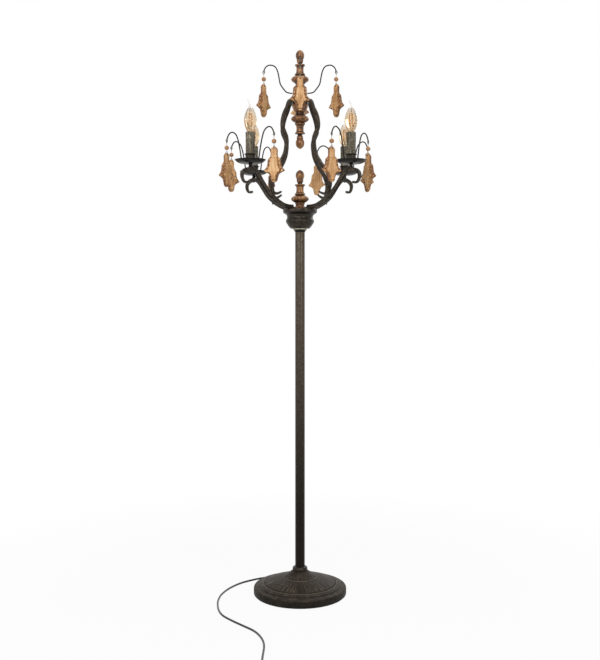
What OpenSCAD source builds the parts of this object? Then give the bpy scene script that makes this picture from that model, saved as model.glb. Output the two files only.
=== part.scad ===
// Floor lamp with four candle lights on a round cast base.
// The lamp stands on the plane z = 0, its pole runs up the z axis and its four
// arms point between the x and y axes. Sizes are in millimetres.

/* [Base] */
// Diameter of the round cast base
base_d = 267.6; // [240:0.2:300]
// Height of the base's rim above the floor
rim_h = 22.4; // [18:0.2:30]
// Height of the base at the foot of the pole
base_h = 67; // [60:1:80]
// Width of the solid ring inside the rim
rim_w = 26; // [20:1:34]
// Wall of the casting over its hollow underside
cast_wall = 7; // [5:0.5:9]
// Thickness of the felt that the base stands on
felt_t = 2; // [1:0.5:3]
// Outer diameter of the threaded tube through the base
nipple_d = 16; // [14:0.5:18]
// Wall of the threaded tubes
nipple_wall = 2; // [1.5:0.25:2.5]
// Width across the flats of the nut under the base
base_nut_w = 27; // [24:1:32]
// Height of the nut under the base
base_nut_h = 8; // [6:1:10]

/* [Pole] */
// Outer diameter of the pole
pole_d = 28; // [25:0.2:30]
// Wall of the pole's tube
pole_wall = 1.5; // [1.2:0.1:2.2]
// Length of each of the two pole sections
pole_len = 490; // [420:5:560]
// Length of the sleeve inside the pole's joint
coupler_len = 70; // [50:5:100]
// Outer diameter of the collar at the pole's foot
foot_d = 43; // [40:1:50]
// Height of the collar at the pole's foot
foot_h = 12; // [10:1:16]

/* [Hub] */
// Height of the small collar on top of the pole
hub_collar_h = 7; // [6:0.5:10]
// Outer diameter of the bright ring under the hub
hub_ring_d = 41; // [38:0.5:46]
// Height of the bright ring under the hub
hub_ring_h = 3; // [2:0.5:4]
// Height of the hub's bowl
bowl_h = 40.5; // [36:0.5:48]
// Outer diameter of the hub's bowl
bowl_d = 82; // [78:1:88]
// Outer diameter of the plate that carries the arms
plate_d = 99; // [94:1:106]
// Height of the plate that carries the arms
plate_h = 16.5; // [14:0.5:20]
// Outer diameter of the threaded tube through the hub
hub_tube_d = 12; // [11.6:0.1:12.6]
// Diameter of the screws that hold the arms to the plate
screw_d = 4; // [3:0.5:4]

/* [Arms] */
// Distance from the lamp's axis to the axis of each candle
candle_r = 196; // [180:1:215]
// Rise of each arm from the hub to the candle
arm_rise = 93.8; // [80:0.2:110]
// Width of the square bar of the arms
arm_w = 11; // [10:0.2:12.4]
// Depth of the square bar of the arms
arm_t = 10.6; // [10:0.2:12]
// Width and depth of the groove that holds the wire
groove_w = 5.8; // [4.8:0.2:6.4]
// Distance from the lamp's axis to where each arm rises to its full depth
arm_in_r = 32; // [30:0.5:36]
// Reach of the scroll beyond the candle
scroll_w = 30; // [26:1:36]
// Drop of the scroll below the candle's seat
scroll_drop = 36; // [32:1:42]

/* [Cage] */
// Height of the crown ring's middle above the hub's plate
cage_h = 310.5; // [290:0.5:330]
// Width of the square bar of the cage
cage_w = 9.8; // [8:0.2:11]
// Distance from the lamp's axis to the widest part of the cage
cage_r = 117; // [110:0.5:124]
// Length of the inward hook at the foot of each cage bar
hook_len = 34; // [26:1:38]

/* [Crown] */
// Diameter of the iron ring that holds the cage
crown_ring_d = 48; // [44:1:54]
// Height of the iron ring that holds the cage
crown_ring_h = 18; // [15:1:22]
// Diameter of the wooden collar over the iron ring
crown_collar_d = 41; // [38:1:44]
// Height of the wooden collar over the iron ring
crown_collar_h = 32; // [30:1:38]
// Height of the wooden cup under the iron ring
crown_cup_h = 22; // [19:1:26]
// Diameter of the rod through the crown
rod_d = 8; // [6:0.5:9]
// Height of the upper finial
upper_h = 109.5; // [100:0.5:120]
// Height of the drop finial under the crown
drop_h = 105.5; // [98:0.5:116]
// Height of the finial on the hub
lower_h = 113; // [104:1:122]
// Diameter of the finials at their bulb
finial_d = 52; // [48:1:56]

/* [Candles] */
// Outer diameter of the drip pans
pan_d = 86.4; // [80:0.4:94]
// Height of the drip pans
pan_h = 11.6; // [10:0.2:14]
// Thickness of the drip pans
pan_t = 1.5; // [1.2:0.1:2]
// Gap between the arm and the drip pan
pan_lift = 9.5; // [8:0.5:11]
// Diameter of the threaded tube through each drip pan
stem_d = 8; // [7:0.2:8.2]
// Outer diameter of the cup that holds each candle sleeve
cup_d = 28; // [27.6:0.2:30]
// Height of the cup that holds each candle sleeve
cup_h = 26; // [22:1:30]
// Outer diameter of the flange on top of each cup
flange_d = 33; // [31:1:38]
// Thickness of the flange on top of each cup
flange_t = 2; // [1.5:0.5:3]
// Outer diameter of the candle sleeves
sleeve_d = 25.8; // [25:0.2:26.6]
// Height of the candle sleeves above their cups
sleeve_h = 59.5; // [54:0.5:66]
// Wall of the candle sleeves
sleeve_wall = 1.2; // [1:0.1:1.4]
// Diameter of the bulbs
bulb_d = 35.4; // [32:0.2:38]
// Height of the bulb above its sleeve, without the tail
bulb_h = 70; // [62:1:78]
// Height of the bent tail on top of each bulb
tail_h = 26; // [20:1:30]
// Diameter of the bulb's screw cap
cap_d = 13.9; // [12:0.1:14]
// Height of the bulb's screw cap
cap_h = 24; // [20:1:26]

/* [Hangers] */
// Diameter of the bent wires that carry the drops
wire_d = 3.8; // [3.2:0.1:4.2]
// Distance from the lamp's axis to the eyes of the crown wires
crown_reach = 105; // [98:0.5:112]
// Rise of the crown wires above where they leave the collar
crown_rise = 82; // [76:1:88]
// Distance from the candle's axis to the eyes of the pan wires
pan_reach = 93; // [86:1:100]
// Rise of the pan wires above the drip pan's floor
pan_rise = 94; // [84:1:100]
// Length of the pin from the wire's eye to the wooden drop
pin_len = 31; // [28:0.5:36]
// Diameter of the pin's wire
pin_d = 1.4; // [1.2:0.1:1.5]
// Diameter of the wooden beads
bead_d = 13; // [11:0.5:14]
// Height of the wooden drops
drop_len = 96; // [88:1:106]
// Width of the wooden drops across their side tips
drop_w = 59; // [54:1:64]
// Thickness of the board that each drop is cut from
drop_t = 6; // [5:0.5:7]
// Height of the raised panel on each drop's face
panel_t = 4.5; // [3:0.5:6]

/* [Cord] */
// Diameter of the cord
cord_d = 5.6; // [5:0.2:6.4]
// Bearing of the cord's exit around the base, in degrees
exit_az = 128; // [126:1:130]
// Height of the cord's exit above the floor
exit_z = 9; // [8:0.5:10]
// Length of the foot switch's housing
switch_len = 84; // [76:1:90]
// Width of the foot switch's housing
switch_w = 44; // [40:1:50]
// Height of the foot switch's housing
switch_h = 20; // [18:1:24]
// Diameter of the foot switch's button
button_d = 26; // [22:1:30]
// Travel of the foot switch's button
button_travel = 3; // [2:0.5:3.5]
// Length of the plug's body
plug_len = 36; // [32:1:40]
// Width of the plug's body
plug_w = 30; // [27:1:34]

/* [Hidden] */

// Clearances and small sizes that mating pieces share
slip = 0.15;
seat = 0.2;
run_gap = 0.06;
swing_gap = 0.35;
cut = 1;
flat_cut = 0.5;
fn_big = 96;
fn_mid = 48;
fn_small = 24;
sides = 8;

// Bearings of the four arms and of the four crown wires
AZ_FL = 225.85;
AZ_FR = 315.85;
AZ_RR = 45.85;
AZ_RL = 135.85;
AZ_ARMS = [AZ_FL, AZ_FR, AZ_RR, AZ_RL];
AZ_FRONT = 270;
AZ_RIGHT = 0;
AZ_BACK = 90;
AZ_LEFT = 180;
AZ_WIRES = [AZ_FRONT, AZ_RIGHT, AZ_BACK, AZ_LEFT];
// Each pan wire: the bearing of its arm, its own bearing, and the turn of its drop
PAN_WIRES = [
    [AZ_FL, 138.5, 50],
    [AZ_RL, 227.2, 40],
    [AZ_RL, 56.5, -70],
    [AZ_FL, 316, -15],
    [AZ_RR, 313.8, 46],
    [AZ_FR, 55.5, -49],
    [AZ_FR, 233.1, 24],
    [AZ_RR, 154.7, 148]
];
// Turn of each crown drop away from facing the front
CROWN_TURN = [11, -45, 160, 48.6];

// Heights of the stack, from the floor up
z_felt = felt_t;
z_base = base_h;
z_foot = z_base + foot_h;
z_joint = z_base + pole_len;
z_pole = z_joint + pole_len;
z_ring = z_pole + hub_collar_h;
z_bowl = z_ring + hub_ring_h;
z_plate = z_bowl + bowl_h;
z_hub = z_plate + plate_h;
z_arm = z_hub + arm_t / 2;
z_peak = z_arm + arm_rise;
z_seat = z_peak + arm_t / 2 - flat_cut;
z_pan = z_seat + pan_lift;
z_cup = z_pan + pan_t;
z_flange = z_cup + cup_h;
z_sleeve = z_flange + sleeve_h;
z_crown = z_hub + cage_h;
z_ring_top = z_crown + crown_ring_h / 2;
z_cup_top = z_crown - crown_ring_h / 2;
z_cup_low = z_cup_top - crown_cup_h;
z_collar_top = z_ring_top + crown_collar_h;
z_top = z_collar_top + upper_h;

// The base casting
rim_r = base_d / 2;
cavity_r = rim_r - rim_w;
boss_r = 22;
boss_z = 46;
nipple_z = boss_z - base_nut_h - 3;
nipple_top = 16;
insert_len = 20;
bushing_d = 10;
bushing_out = 12;
bushing_flange = 3;
cord_gap = 0.3;

// The hub
hub_r = plate_d / 2;
hub_tube_wall = 2;
bowl_wall = 4.4;
bowl_floor = 6;
bowl_in_r = bowl_d * 0.46 - bowl_wall / 2;
branch_d = 3;
wire_hole_d = branch_d + 1;
wire_hole_r = bowl_in_r - wire_hole_d / 2 - 0.1;
screw_r = wire_hole_r - 5.8;
screw_head_d = 6.6;
screw_head_h = 2.6;
screw_bite = 3.4;
tongue_h = 4.5;
cable_d = 6;
tube_up = 16;

// The finials
foot_r = 18.9;
waist_r = 12.4;

// The candles
seat_d = 11;
screw_pin_d = 4;
stem_bore = 5;
pin_nut_w = 8;
pin_nut_h = 3;
cup_nut_w = 13;
holder_len = 48;
holder_d = sleeve_d - 2 * sleeve_wall - 2 * slip;
holder_low = 1.5;
glass_t = 0.8;
z_holder = z_sleeve - holder_low;
stem_top = z_holder - holder_len + 9;
tail_lean = 18;

// The hangers
eye_wire = 2.4;
eye_r = 3;
loop_r = eye_wire / 2 + swing_gap + pin_d / 2;
hole_d = 4.4;
hook_r = 4.4;
bead_at = 17;
z_crown_wire = z_ring_top + crown_collar_h * 0.478;
z_crown_eye = z_crown_wire + crown_rise * 0.71;
z_pan_eye = z_pan + pan_rise * 0.739;
pan_root = pan_d * 0.382;

// ---- Curves ----
function lerp(a, b, t) = a + (b - a) * t;
function ease(t) = t * t * (3 - 2 * t);
function clamp01(t) = min(1, max(0, t));
function unit(v) = v / norm(v);
// One point of the smooth curve that passes through b and c
function through(a, b, c, d, t) =
    0.5 * (2 * b + (c - a) * t + (2 * a - 5 * b + 4 * c - d) * t * t + (3 * b - a - 3 * c + d) * t * t * t);
// A smooth curve through all the points, n steps from one to the next
function curve(p, n) = concat(
    [for (i = [0 : len(p) - 2]) for (j = [0 : n - 1])
        through(p[max(i - 1, 0)], p[i], p[i + 1], p[min(i + 2, len(p) - 1)], j / n)],
    [p[len(p) - 1]]);
function heading(p, i) = unit(p[min(i + 1, len(p) - 1)] - p[max(i - 1, 0)]);
// Normal of a flat curve, to the left of its heading
function left_of(h) = [-h[1], h[0]];
function flip(list) = [for (i = [len(list) - 1 : -1 : 0]) list[i]];

// A closed skin over a row of equal rings of points
module skin(rings) {
    n = len(rings[0]);
    m = len(rings);
    polyhedron(
        points = [for (r = rings) for (p = r) p],
        faces = concat(
            [[for (i = [0 : n - 1]) i]],
            [[for (i = [n - 1 : -1 : 0]) (m - 1) * n + i]],
            [for (k = [0 : m - 2]) for (i = [0 : n - 1])
                [k * n + i, (k + 1) * n + i, (k + 1) * n + (i + 1) % n]],
            [for (k = [0 : m - 2]) for (i = [0 : n - 1])
                [k * n + i, (k + 1) * n + (i + 1) % n, k * n + (i + 1) % n]]));
}

// A bar along a flat curve in the xz plane; section(i) points are [outward, sideways]
function bar_ring(p, i, sec) =
    let (h = heading(p, i), n = left_of(h))
    [for (s = sec) [p[i][0] + n[0] * s[0], -s[1], p[i][1] + n[1] * s[0]]];

// A round tube along a curve in space
function tube_ring(p, i, r, k) =
    let (
        h = heading(p, i),
        a = abs(h[2]) > 0.94 ? unit(cross(h, [1, 0.2, 0])) : unit(cross([0, 0, 1], h)),
        b = cross(h, a))
    [for (j = [0 : k - 1]) p[i] + r * (a * cos(360 * j / k) + b * sin(360 * j / k))];
module tube(p, d, k) {
    skin([for (i = [0 : len(p) - 1]) tube_ring(p, i, d / 2, k)]);
}
// A tube along a curve that stays in one upright plane
module flat_tube(p, d, k) {
    sec = [for (j = [0 : k - 1]) [d / 2 * cos(360 * j / k + 180 / k), d / 2 * sin(360 * j / k + 180 / k)]];
    skin([for (i = [0 : len(p) - 1]) bar_ring(p, i, sec)]);
}

// ---- Round pieces ----
module lathe(p, fn = fn_big) {
    rotate_extrude($fn = fn)
        polygon(p);
}
module pipe(d, bore, z0, z1, fn = fn_mid) {
    translate([0, 0, z0])
        difference() {
            cylinder(d = d, h = z1 - z0, $fn = fn);
            translate([0, 0, -cut])
                cylinder(d = bore, h = z1 - z0 + 2 * cut, $fn = fn);
        }
}
module nut(w, bore, z0, h) {
    translate([0, 0, z0])
        difference() {
            cylinder(d = w / cos(30), h = h, $fn = 6);
            translate([0, 0, -cut])
                cylinder(d = bore, h = h + 2 * cut, $fn = fn_mid);
        }
}
// A swelling between two heights, r0 and r1 at its ends and rm in its middle
function swell(z0, r0, z1, r1, rm, n) =
    [for (i = [0 : n]) let (t = i / n)
        [lerp(r0, r1, t) + (rm - (r0 + r1) / 2) * pow(sin(180 * t), 0.8), lerp(z0, z1, t)]];

// ---- Base ----
// Steps of the top from the rim inwards, as shares of the rim's radius and of the rise to the pole
BASE_STEPS = [
    [0.972, 0], [0.885, 0.058], [0.875, 0.099], [0.798, 0.193], [0.778, 0.206], [0.772, 0.184],
    [0.763, 0.22], [0.714, 0.283], [0.601, 0.404], [0.488, 0.507], [0.375, 0.565], [0.367, 0.614],
    [0.337, 0.655], [0.277, 0.749], [0.221, 0.874]
];
base_rise = base_h - rim_h;
function base_top() = concat(
    [[rim_r - 0.6, z_felt], [rim_r, z_felt + 1.2], [rim_r, rim_h - 4.4], [rim_r - 1.1, rim_h - 1.4]],
    [for (p = BASE_STEPS) [rim_r * p[0], rim_h + base_rise * p[1]]],
    [[boss_r, z_base]]);
function base_roof() = [
    [cavity_r, z_felt - cut], [cavity_r, rim_h - 1], [cavity_r - 8, rim_h + base_rise * 0.07],
    [rim_r * 0.601, rim_h + base_rise * 0.38 - cast_wall], [rim_r * 0.375, rim_h + base_rise * 0.565 - cast_wall],
    [rim_r * 0.277, rim_h + base_rise * 0.7 - cast_wall], [boss_r + 4, z_base - cast_wall - 6], [boss_r, boss_z + 4]
];
module base_felt() {
    color([0.12, 0.12, 0.12])
        cylinder(d = base_d - 6, h = felt_t, $fn = fn_big);
}
module base_casting() {
    color([0.24, 0.2, 0.17])
        difference() {
            lathe(concat([[0, z_felt]], base_top(), [[0, z_base]]));
            lathe(concat([[0, z_felt - cut]], base_roof(), [[boss_r, boss_z], [0, boss_z]]));
            translate([0, 0, boss_z - cut])
                cylinder(d = nipple_d + 2 * slip, h = z_base, $fn = fn_mid);
            rotate([0, 0, exit_az])
                translate([cavity_r - rim_w, 0, exit_z])
                    rotate([0, 90, 0])
                        cylinder(d = bushing_d + 2 * slip, h = 2 * rim_w + cut, $fn = fn_small);
        }
}
module base_nipple() {
    color([0.7, 0.68, 0.6])
        pipe(nipple_d, nipple_d - 2 * nipple_wall, nipple_z, z_base + nipple_top);
}
module base_nut() {
    color([0.62, 0.62, 0.6])
        nut(base_nut_w, nipple_d + 2 * slip, boss_z - base_nut_h, base_nut_h);
}
module cord_bushing() {
    color([0.07, 0.07, 0.07])
        rotate([0, 0, exit_az])
            translate([cavity_r, 0, exit_z])
                rotate([0, 90, 0])
                    lathe([
                        [cord_d / 2 + cord_gap, 0], [bushing_d / 2, 0], [bushing_d / 2, rim_w + seat],
                        [bushing_d / 2 + 1.4, rim_w + seat], [bushing_d / 2 + 1.4, rim_w + bushing_flange],
                        [cord_d / 2 + 1.5, rim_w + bushing_out], [cord_d / 2 + cord_gap, rim_w + bushing_out]
                    ], fn_small);
}
module foot_collar() {
    r = foot_d / 2;
    bore = pole_d / 2 + slip;
    color([0.26, 0.22, 0.18])
        lathe([
            [bore, z_base], [r - 0.8, z_base], [r, z_base + 1], [r, z_foot - 5],
            [r - 1, z_foot - 2.4], [r - 3.2, z_foot - 0.6], [r - 5.4, z_foot], [bore, z_foot]
        ]);
}

// ---- Pole ----
module pole_lower() {
    color([0.27, 0.23, 0.19])
        difference() {
            translate([0, 0, z_base])
                cylinder(d = pole_d, h = pole_len - seat, $fn = fn_mid);
            translate([0, 0, z_base + insert_len])
                cylinder(d = pole_d - 2 * pole_wall, h = pole_len, $fn = fn_mid);
            translate([0, 0, z_base - cut])
                cylinder(d = nipple_d + 2 * slip, h = insert_len + 2 * cut, $fn = fn_mid);
        }
}
module pole_coupler() {
    d = pole_d - 2 * pole_wall - 2 * slip;
    color([0.66, 0.66, 0.64])
        pipe(d, d - 4, z_joint - coupler_len / 2, z_joint + coupler_len / 2);
}
module pole_upper() {
    color([0.27, 0.23, 0.19])
        difference() {
            translate([0, 0, z_joint])
                cylinder(d = pole_d, h = pole_len, $fn = fn_mid);
            translate([0, 0, z_joint - cut])
                cylinder(d = pole_d - 2 * pole_wall, h = pole_len - insert_len + cut, $fn = fn_mid);
            translate([0, 0, z_pole - insert_len - cut])
                cylinder(d = hub_tube_d + 2 * slip, h = insert_len + 2 * cut, $fn = fn_mid);
        }
}

// ---- Hub ----
module hub_collar() {
    bore = hub_tube_d / 2 + slip;
    color([0.26, 0.22, 0.18])
        lathe([
            [bore, z_pole], [pole_d / 2 + 1, z_pole], [pole_d / 2 + 1.6, z_pole + 1.6],
            [hub_ring_d / 2 - 4, z_ring - 2.4], [hub_ring_d / 2 - 0.6, z_ring], [bore, z_ring]
        ]);
}
module hub_ring() {
    bore = hub_tube_d / 2 + slip;
    r = hub_ring_d / 2;
    color([0.72, 0.66, 0.55])
        lathe([
            [bore, z_ring], [r - 0.6, z_ring], [r, z_ring + hub_ring_h / 3], [r, z_bowl - hub_ring_h / 3],
            [r - 0.6, z_bowl], [bore, z_bowl]
        ]);
}
function bowl_side() = [
    [bowl_d * 0.33, z_bowl], [bowl_d * 0.365, z_bowl + bowl_h * 0.06], [bowl_d * 0.42, z_bowl + bowl_h * 0.2],
    [bowl_d * 0.46, z_bowl + bowl_h * 0.33], [bowl_d * 0.49, z_bowl + bowl_h * 0.43],
    [bowl_d * 0.5, z_bowl + bowl_h * 0.52], [bowl_d * 0.495, z_bowl + bowl_h * 0.6],
    [bowl_d * 0.465, z_bowl + bowl_h * 0.72], [bowl_d * 0.46, z_bowl + bowl_h * 0.86],
    [bowl_d * 0.485, z_bowl + bowl_h * 0.97], [bowl_d * 0.495, z_plate]
];
module hub_bowl() {
    bore = hub_tube_d / 2 + slip;
    color([0.25, 0.21, 0.17])
        lathe(concat(
            [[bore, z_bowl]], bowl_side(),
            [[bowl_in_r, z_plate], [bowl_in_r, z_bowl + bowl_h * 0.4], [bowl_d * 0.36, z_bowl + bowl_h * 0.25],
                [bowl_d * 0.3, z_bowl + bowl_floor], [bore, z_bowl + bowl_floor]]));
}
module hub_plate() {
    color([0.25, 0.21, 0.17])
        difference() {
            lathe([
                [0, z_plate], [hub_r - 9, z_plate], [hub_r - 2.6, z_plate + plate_h * 0.22],
                [hub_r - 1.2, z_plate + plate_h * 0.34], [hub_r, z_plate + plate_h * 0.46],
                [hub_r, z_hub - 1.4], [hub_r - 1.2, z_hub], [0, z_hub]
            ]);
            translate([0, 0, z_plate - cut])
                cylinder(d = hub_tube_d + 2 * slip, h = plate_h + 2 * cut, $fn = fn_mid);
            for (az = AZ_ARMS)
                rotate([0, 0, az]) {
                    translate([wire_hole_r, 0, z_plate - cut])
                        cylinder(d = wire_hole_d, h = plate_h + 2 * cut, $fn = fn_small);
                    translate([screw_r, 0, z_plate - cut])
                        cylinder(d = screw_d + 2 * slip, h = plate_h + 2 * cut, $fn = fn_small);
                }
        }
}
module hub_tube() {
    color([0.7, 0.68, 0.6])
        difference() {
            pipe(hub_tube_d, hub_tube_d - 2 * hub_tube_wall, z_pole - insert_len + 2, z_hub + tube_up);
            for (az = [AZ_RR, AZ_RL])
                rotate([0, 0, az])
                    translate([-hub_tube_d, -branch_d / 2 - 0.5, z_plate - 22])
                        cube([2 * hub_tube_d, branch_d + 1, 20]);
        }
}
module hub_nut() {
    color([0.62, 0.62, 0.6])
        nut(19, hub_tube_d + 2 * slip, z_bowl + bowl_floor, 6);
}
module arm_screws() {
    color([0.5, 0.5, 0.5])
        for (az = AZ_ARMS)
            rotate([0, 0, az])
                translate([screw_r, 0, z_plate - screw_head_h]) {
                    cylinder(d = screw_head_d, h = screw_head_h, $fn = fn_small);
                    cylinder(d = screw_d, h = screw_head_h + plate_h + screw_bite, $fn = fn_small);
                }
}

// Outline of a finial above its bulb, as shares of the bulb's radius and of the height over the foot
FINIAL_SHAPE = [
    [0.527, 0.237], [0.589, 0.25], [0.589, 0.27], [0.543, 0.284], [0.473, 0.301], [0.434, 0.337],
    [0.407, 0.388], [0.407, 0.439], [0.434, 0.485], [0.488, 0.51], [0.566, 0.526], [0.578, 0.546],
    [0.558, 0.557], [0.465, 0.565], [0.287, 0.571], [0.256, 0.587], [0.287, 0.607], [0.333, 0.628],
    [0.368, 0.663], [0.372, 0.699], [0.357, 0.709], [0.372, 0.719], [0.434, 0.755], [0.481, 0.801],
    [0.48, 0.847], [0.453, 0.888], [0.36, 0.939], [0.213, 0.975], [0.097, 0.993], [0.03, 1]
];
// Outline of a turned finial that stands on z = 0; low is the height of its foot, under the bulb
function finial_side(h, foot, low) = concat(
    [[0, 0], [foot, 0], [foot, 0.08 * low], [waist_r, 0.6 * low], [waist_r, 0.75 * low],
        [waist_r + 2, 0.86 * low], [waist_r + 2, 0.97 * low]],
    swell(low, waist_r, lerp(low, h, 0.229), waist_r, finial_d / 2, 8),
    [for (p = FINIAL_SHAPE) [finial_d / 2 * p[0], lerp(low, h, p[1])]],
    [[0, h]]);
module finial(h, foot, low, bore, depth) {
    difference() {
        lathe(finial_side(h, foot, low), fn_mid);
        translate([0, 0, -cut])
            cylinder(d = bore, h = depth + cut, $fn = fn_small);
    }
}
module lower_finial() {
    color([0.45, 0.27, 0.14])
        translate([0, 0, z_hub])
            finial(lower_h, foot_r, 0.155 * lower_h, hub_tube_d + 2 * slip, tube_up + seat);
}

// ---- Arms ----
// Points of the arm's middle line as shares of its span and rise
ARM_SHAPE = [
    [0, 0], [0.1055, 0], [0.222, 0.031], [0.3168, 0.098], [0.4137, 0.186], [0.5548, 0.348], [0.6486, 0.501],
    [0.73, 0.666], [0.8094, 0.831], [0.9011, 0.961], [1, 1]
];
// Points of the scroll beyond the candle as shares of its reach and drop
SCROLL_SHAPE = [[0.677, -0.13], [1.007, -0.397], [0.977, -0.77], [0.687, -1.028], [0.193, -0.986]];
arm_points = concat(
    [for (p = ARM_SHAPE) [lerp(arm_in_r, candle_r, p[0]), z_arm + arm_rise * p[1]]],
    [for (p = SCROLL_SHAPE) [candle_r + scroll_w * p[0], z_peak + scroll_drop * p[1]]]);
arm_steps = 3;
arm_path = curve(arm_points, arm_steps);
groove_end = (len(ARM_SHAPE) - 2) * arm_steps + 1;
scroll_from = (len(ARM_SHAPE) - 1) * arm_steps + 1;
// Section of the arm at one ring: it thins along the scroll, and the groove under it ends before the candle
function arm_section(i) =
    let (
        s = clamp01((i - scroll_from) / (len(arm_path) - 2 - scroll_from)),
        w = lerp(arm_w, 6.4, s),
        t = lerp(arm_t, 4.8, s),
        g = groove_w * lerp(1, 0.6, s),
        d = i <= groove_end ? groove_w : 0.6)
    [[t / 2, w / 2], [-t / 2, w / 2], [-t / 2, g / 2], [d - t / 2, g / 2],
        [d - t / 2, -g / 2], [-t / 2, -g / 2], [-t / 2, -w / 2], [t / 2, -w / 2]];
// Where the wire comes up through the arm, this far before the candle
branch_up = 16;
branch_slot = 6.5;
tongue_in = screw_r - 3.4;
groove_in = wire_hole_r - wire_hole_d / 2;
module lower_arm() {
    difference() {
        union() {
            skin([for (i = [0 : len(arm_path) - 1]) bar_ring(arm_path, i, arm_section(i))]);
            translate([tongue_in, -arm_w / 2, z_hub])
                cube([max(arm_in_r + 1, groove_in) - tongue_in, arm_w, tongue_h]);
        }
        translate([0, -arm_w, z_hub - arm_t])
            cube([hub_r + 2, 2 * arm_w, arm_t]);
        translate([groove_in, -groove_w / 2, z_hub - cut])
            cube([arm_in_r + 2 - groove_in, groove_w, groove_w + cut]);
        translate([candle_r - branch_up, -branch_d / 2 - 0.5, z_peak - arm_t])
            cube([branch_slot, branch_d + 1, 2 * arm_t]);
        translate([candle_r - seat_d, -arm_w, z_seat])
            cube([2 * seat_d, 2 * arm_w, arm_t]);
        translate([candle_r, 0, z_peak - arm_t])
            cylinder(d = screw_pin_d + 2 * slip, h = 2 * arm_t, $fn = fn_small);
        translate([candle_r, 0, z_peak - arm_t * 1.5])
            cylinder(d = seat_d + 2, h = arm_t + flat_cut, $fn = fn_small);
        translate([screw_r, 0, z_hub - cut])
            cylinder(d = screw_d + 2 * slip, h = cut + screw_bite + seat, $fn = fn_small);
    }
}
module lower_arm_fl() {
    color([0.28, 0.23, 0.18])
        rotate([0, 0, AZ_FL])
            lower_arm();
}
module lower_arm_fr() {
    color([0.28, 0.23, 0.18])
        rotate([0, 0, AZ_FR])
            lower_arm();
}
module lower_arm_rr() {
    color([0.28, 0.23, 0.18])
        rotate([0, 0, AZ_RR])
            lower_arm();
}
module lower_arm_rl() {
    color([0.28, 0.23, 0.18])
        rotate([0, 0, AZ_RL])
            lower_arm();
}

// ---- Cage ----
// The foot of each cage bar lies on the arm at this distance from the axis
land_r = candle_r * 0.561;
land_at = [for (i = [1 : scroll_from]) if (arm_path[i][0] >= land_r && arm_path[i - 1][0] < land_r) i][0];
land_dir = heading(arm_path, land_at);
land = arm_path[land_at] + left_of(land_dir) * (arm_t / 2 + cage_w / 2 + seat);
CAGE_SHAPE = [
    [0.308, 1], [0.368, 0.987], [0.402, 0.9635], [0.449, 0.914], [0.531, 0.855], [0.589, 0.792],
    [0.611, 0.733], [0.598, 0.687], [0.542, 0.643], [0.487, 0.5965], [0.47, 0.5436], [0.484, 0.491],
    [0.513, 0.438], [0.575, 0.385], [0.646, 0.345], [0.718, 0.3045], [0.863, 0.2446], [0.957, 0.1877],
    [0.996, 0.1365], [1, 0.0854], [0.97, 0.038]
];
cage_points = concat(
    [[crown_ring_d / 2 + seat, z_crown]],
    [for (p = CAGE_SHAPE) [cage_r * p[0], lerp(land[1], z_crown, p[1])]],
    [land, land - hook_len * [0.34, 0.087], land - hook_len * [0.67, 0.02], land - hook_len * [1, -0.13]]);
cage_path = curve(cage_points, 2);
cage_thin = len(cage_path) - 7;
function cage_section(i) =
    let (
        s = clamp01((i - cage_thin) / (len(cage_path) - 1 - cage_thin)),
        w = lerp(cage_w, 4.6, s) / 2,
        c = w - lerp(1.2, 0.8, s))
    [[-w, -c], [-c, -w], [c, -w], [w, -c], [w, c], [c, w], [-c, w], [-w, c]];
module cage_arm() {
    skin([for (i = [0 : len(cage_path) - 1]) bar_ring(cage_path, i, cage_section(i))]);
}
module cage_arm_fl() {
    color([0.3, 0.25, 0.2])
        rotate([0, 0, AZ_FL])
            cage_arm();
}
module cage_arm_fr() {
    color([0.3, 0.25, 0.2])
        rotate([0, 0, AZ_FR])
            cage_arm();
}
module cage_arm_rr() {
    color([0.3, 0.25, 0.2])
        rotate([0, 0, AZ_RR])
            cage_arm();
}
module cage_arm_rl() {
    color([0.3, 0.25, 0.2])
        rotate([0, 0, AZ_RL])
            cage_arm();
}

// ---- Crown ----
crown_bore = rod_d + 2 * slip;
rod_bite = 22;
module crown_ring() {
    r = crown_ring_d / 2;
    color([0.25, 0.21, 0.17])
        lathe([
            [crown_bore / 2, z_cup_top], [r - 1, z_cup_top], [r, z_cup_top + 1], [r, z_ring_top - 1],
            [r - 1, z_ring_top], [crown_bore / 2, z_ring_top]
        ], fn_mid);
}
module crown_collar() {
    r = crown_collar_d / 2;
    color([0.45, 0.27, 0.14])
        lathe([
            [crown_bore / 2, z_ring_top], [r + 1.5, z_ring_top], [r + 1.5, z_ring_top + 2.4],
            [r, z_ring_top + 4], [r, z_collar_top - 2], [r - 1.4, z_collar_top],
            [crown_bore / 2, z_collar_top]
        ], fn_mid);
}
module crown_cup() {
    r = crown_ring_d / 2;
    color([0.45, 0.27, 0.14])
        lathe(concat(
            [[crown_bore / 2, z_cup_low], [13, z_cup_low]],
            swell(z_cup_low, 13, z_cup_top, r, r - 1.6, 6),
            [[crown_bore / 2, z_cup_top]]), fn_mid);
}
module crown_rod() {
    color([0.7, 0.68, 0.6])
        translate([0, 0, z_cup_low - rod_bite])
            cylinder(d = rod_d, h = z_collar_top - z_cup_low + 2 * rod_bite, $fn = fn_small);
}
module upper_finial() {
    color([0.45, 0.27, 0.14])
        translate([0, 0, z_collar_top])
            finial(upper_h, foot_r, 0.114 * upper_h, crown_bore, rod_bite + seat);
}
module drop_finial() {
    color([0.45, 0.27, 0.14])
        translate([0, 0, z_cup_low])
            rotate([180, 0, 0])
                finial(drop_h, 13, 0.071 * drop_h, crown_bore, rod_bite + seat);
}

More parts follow.
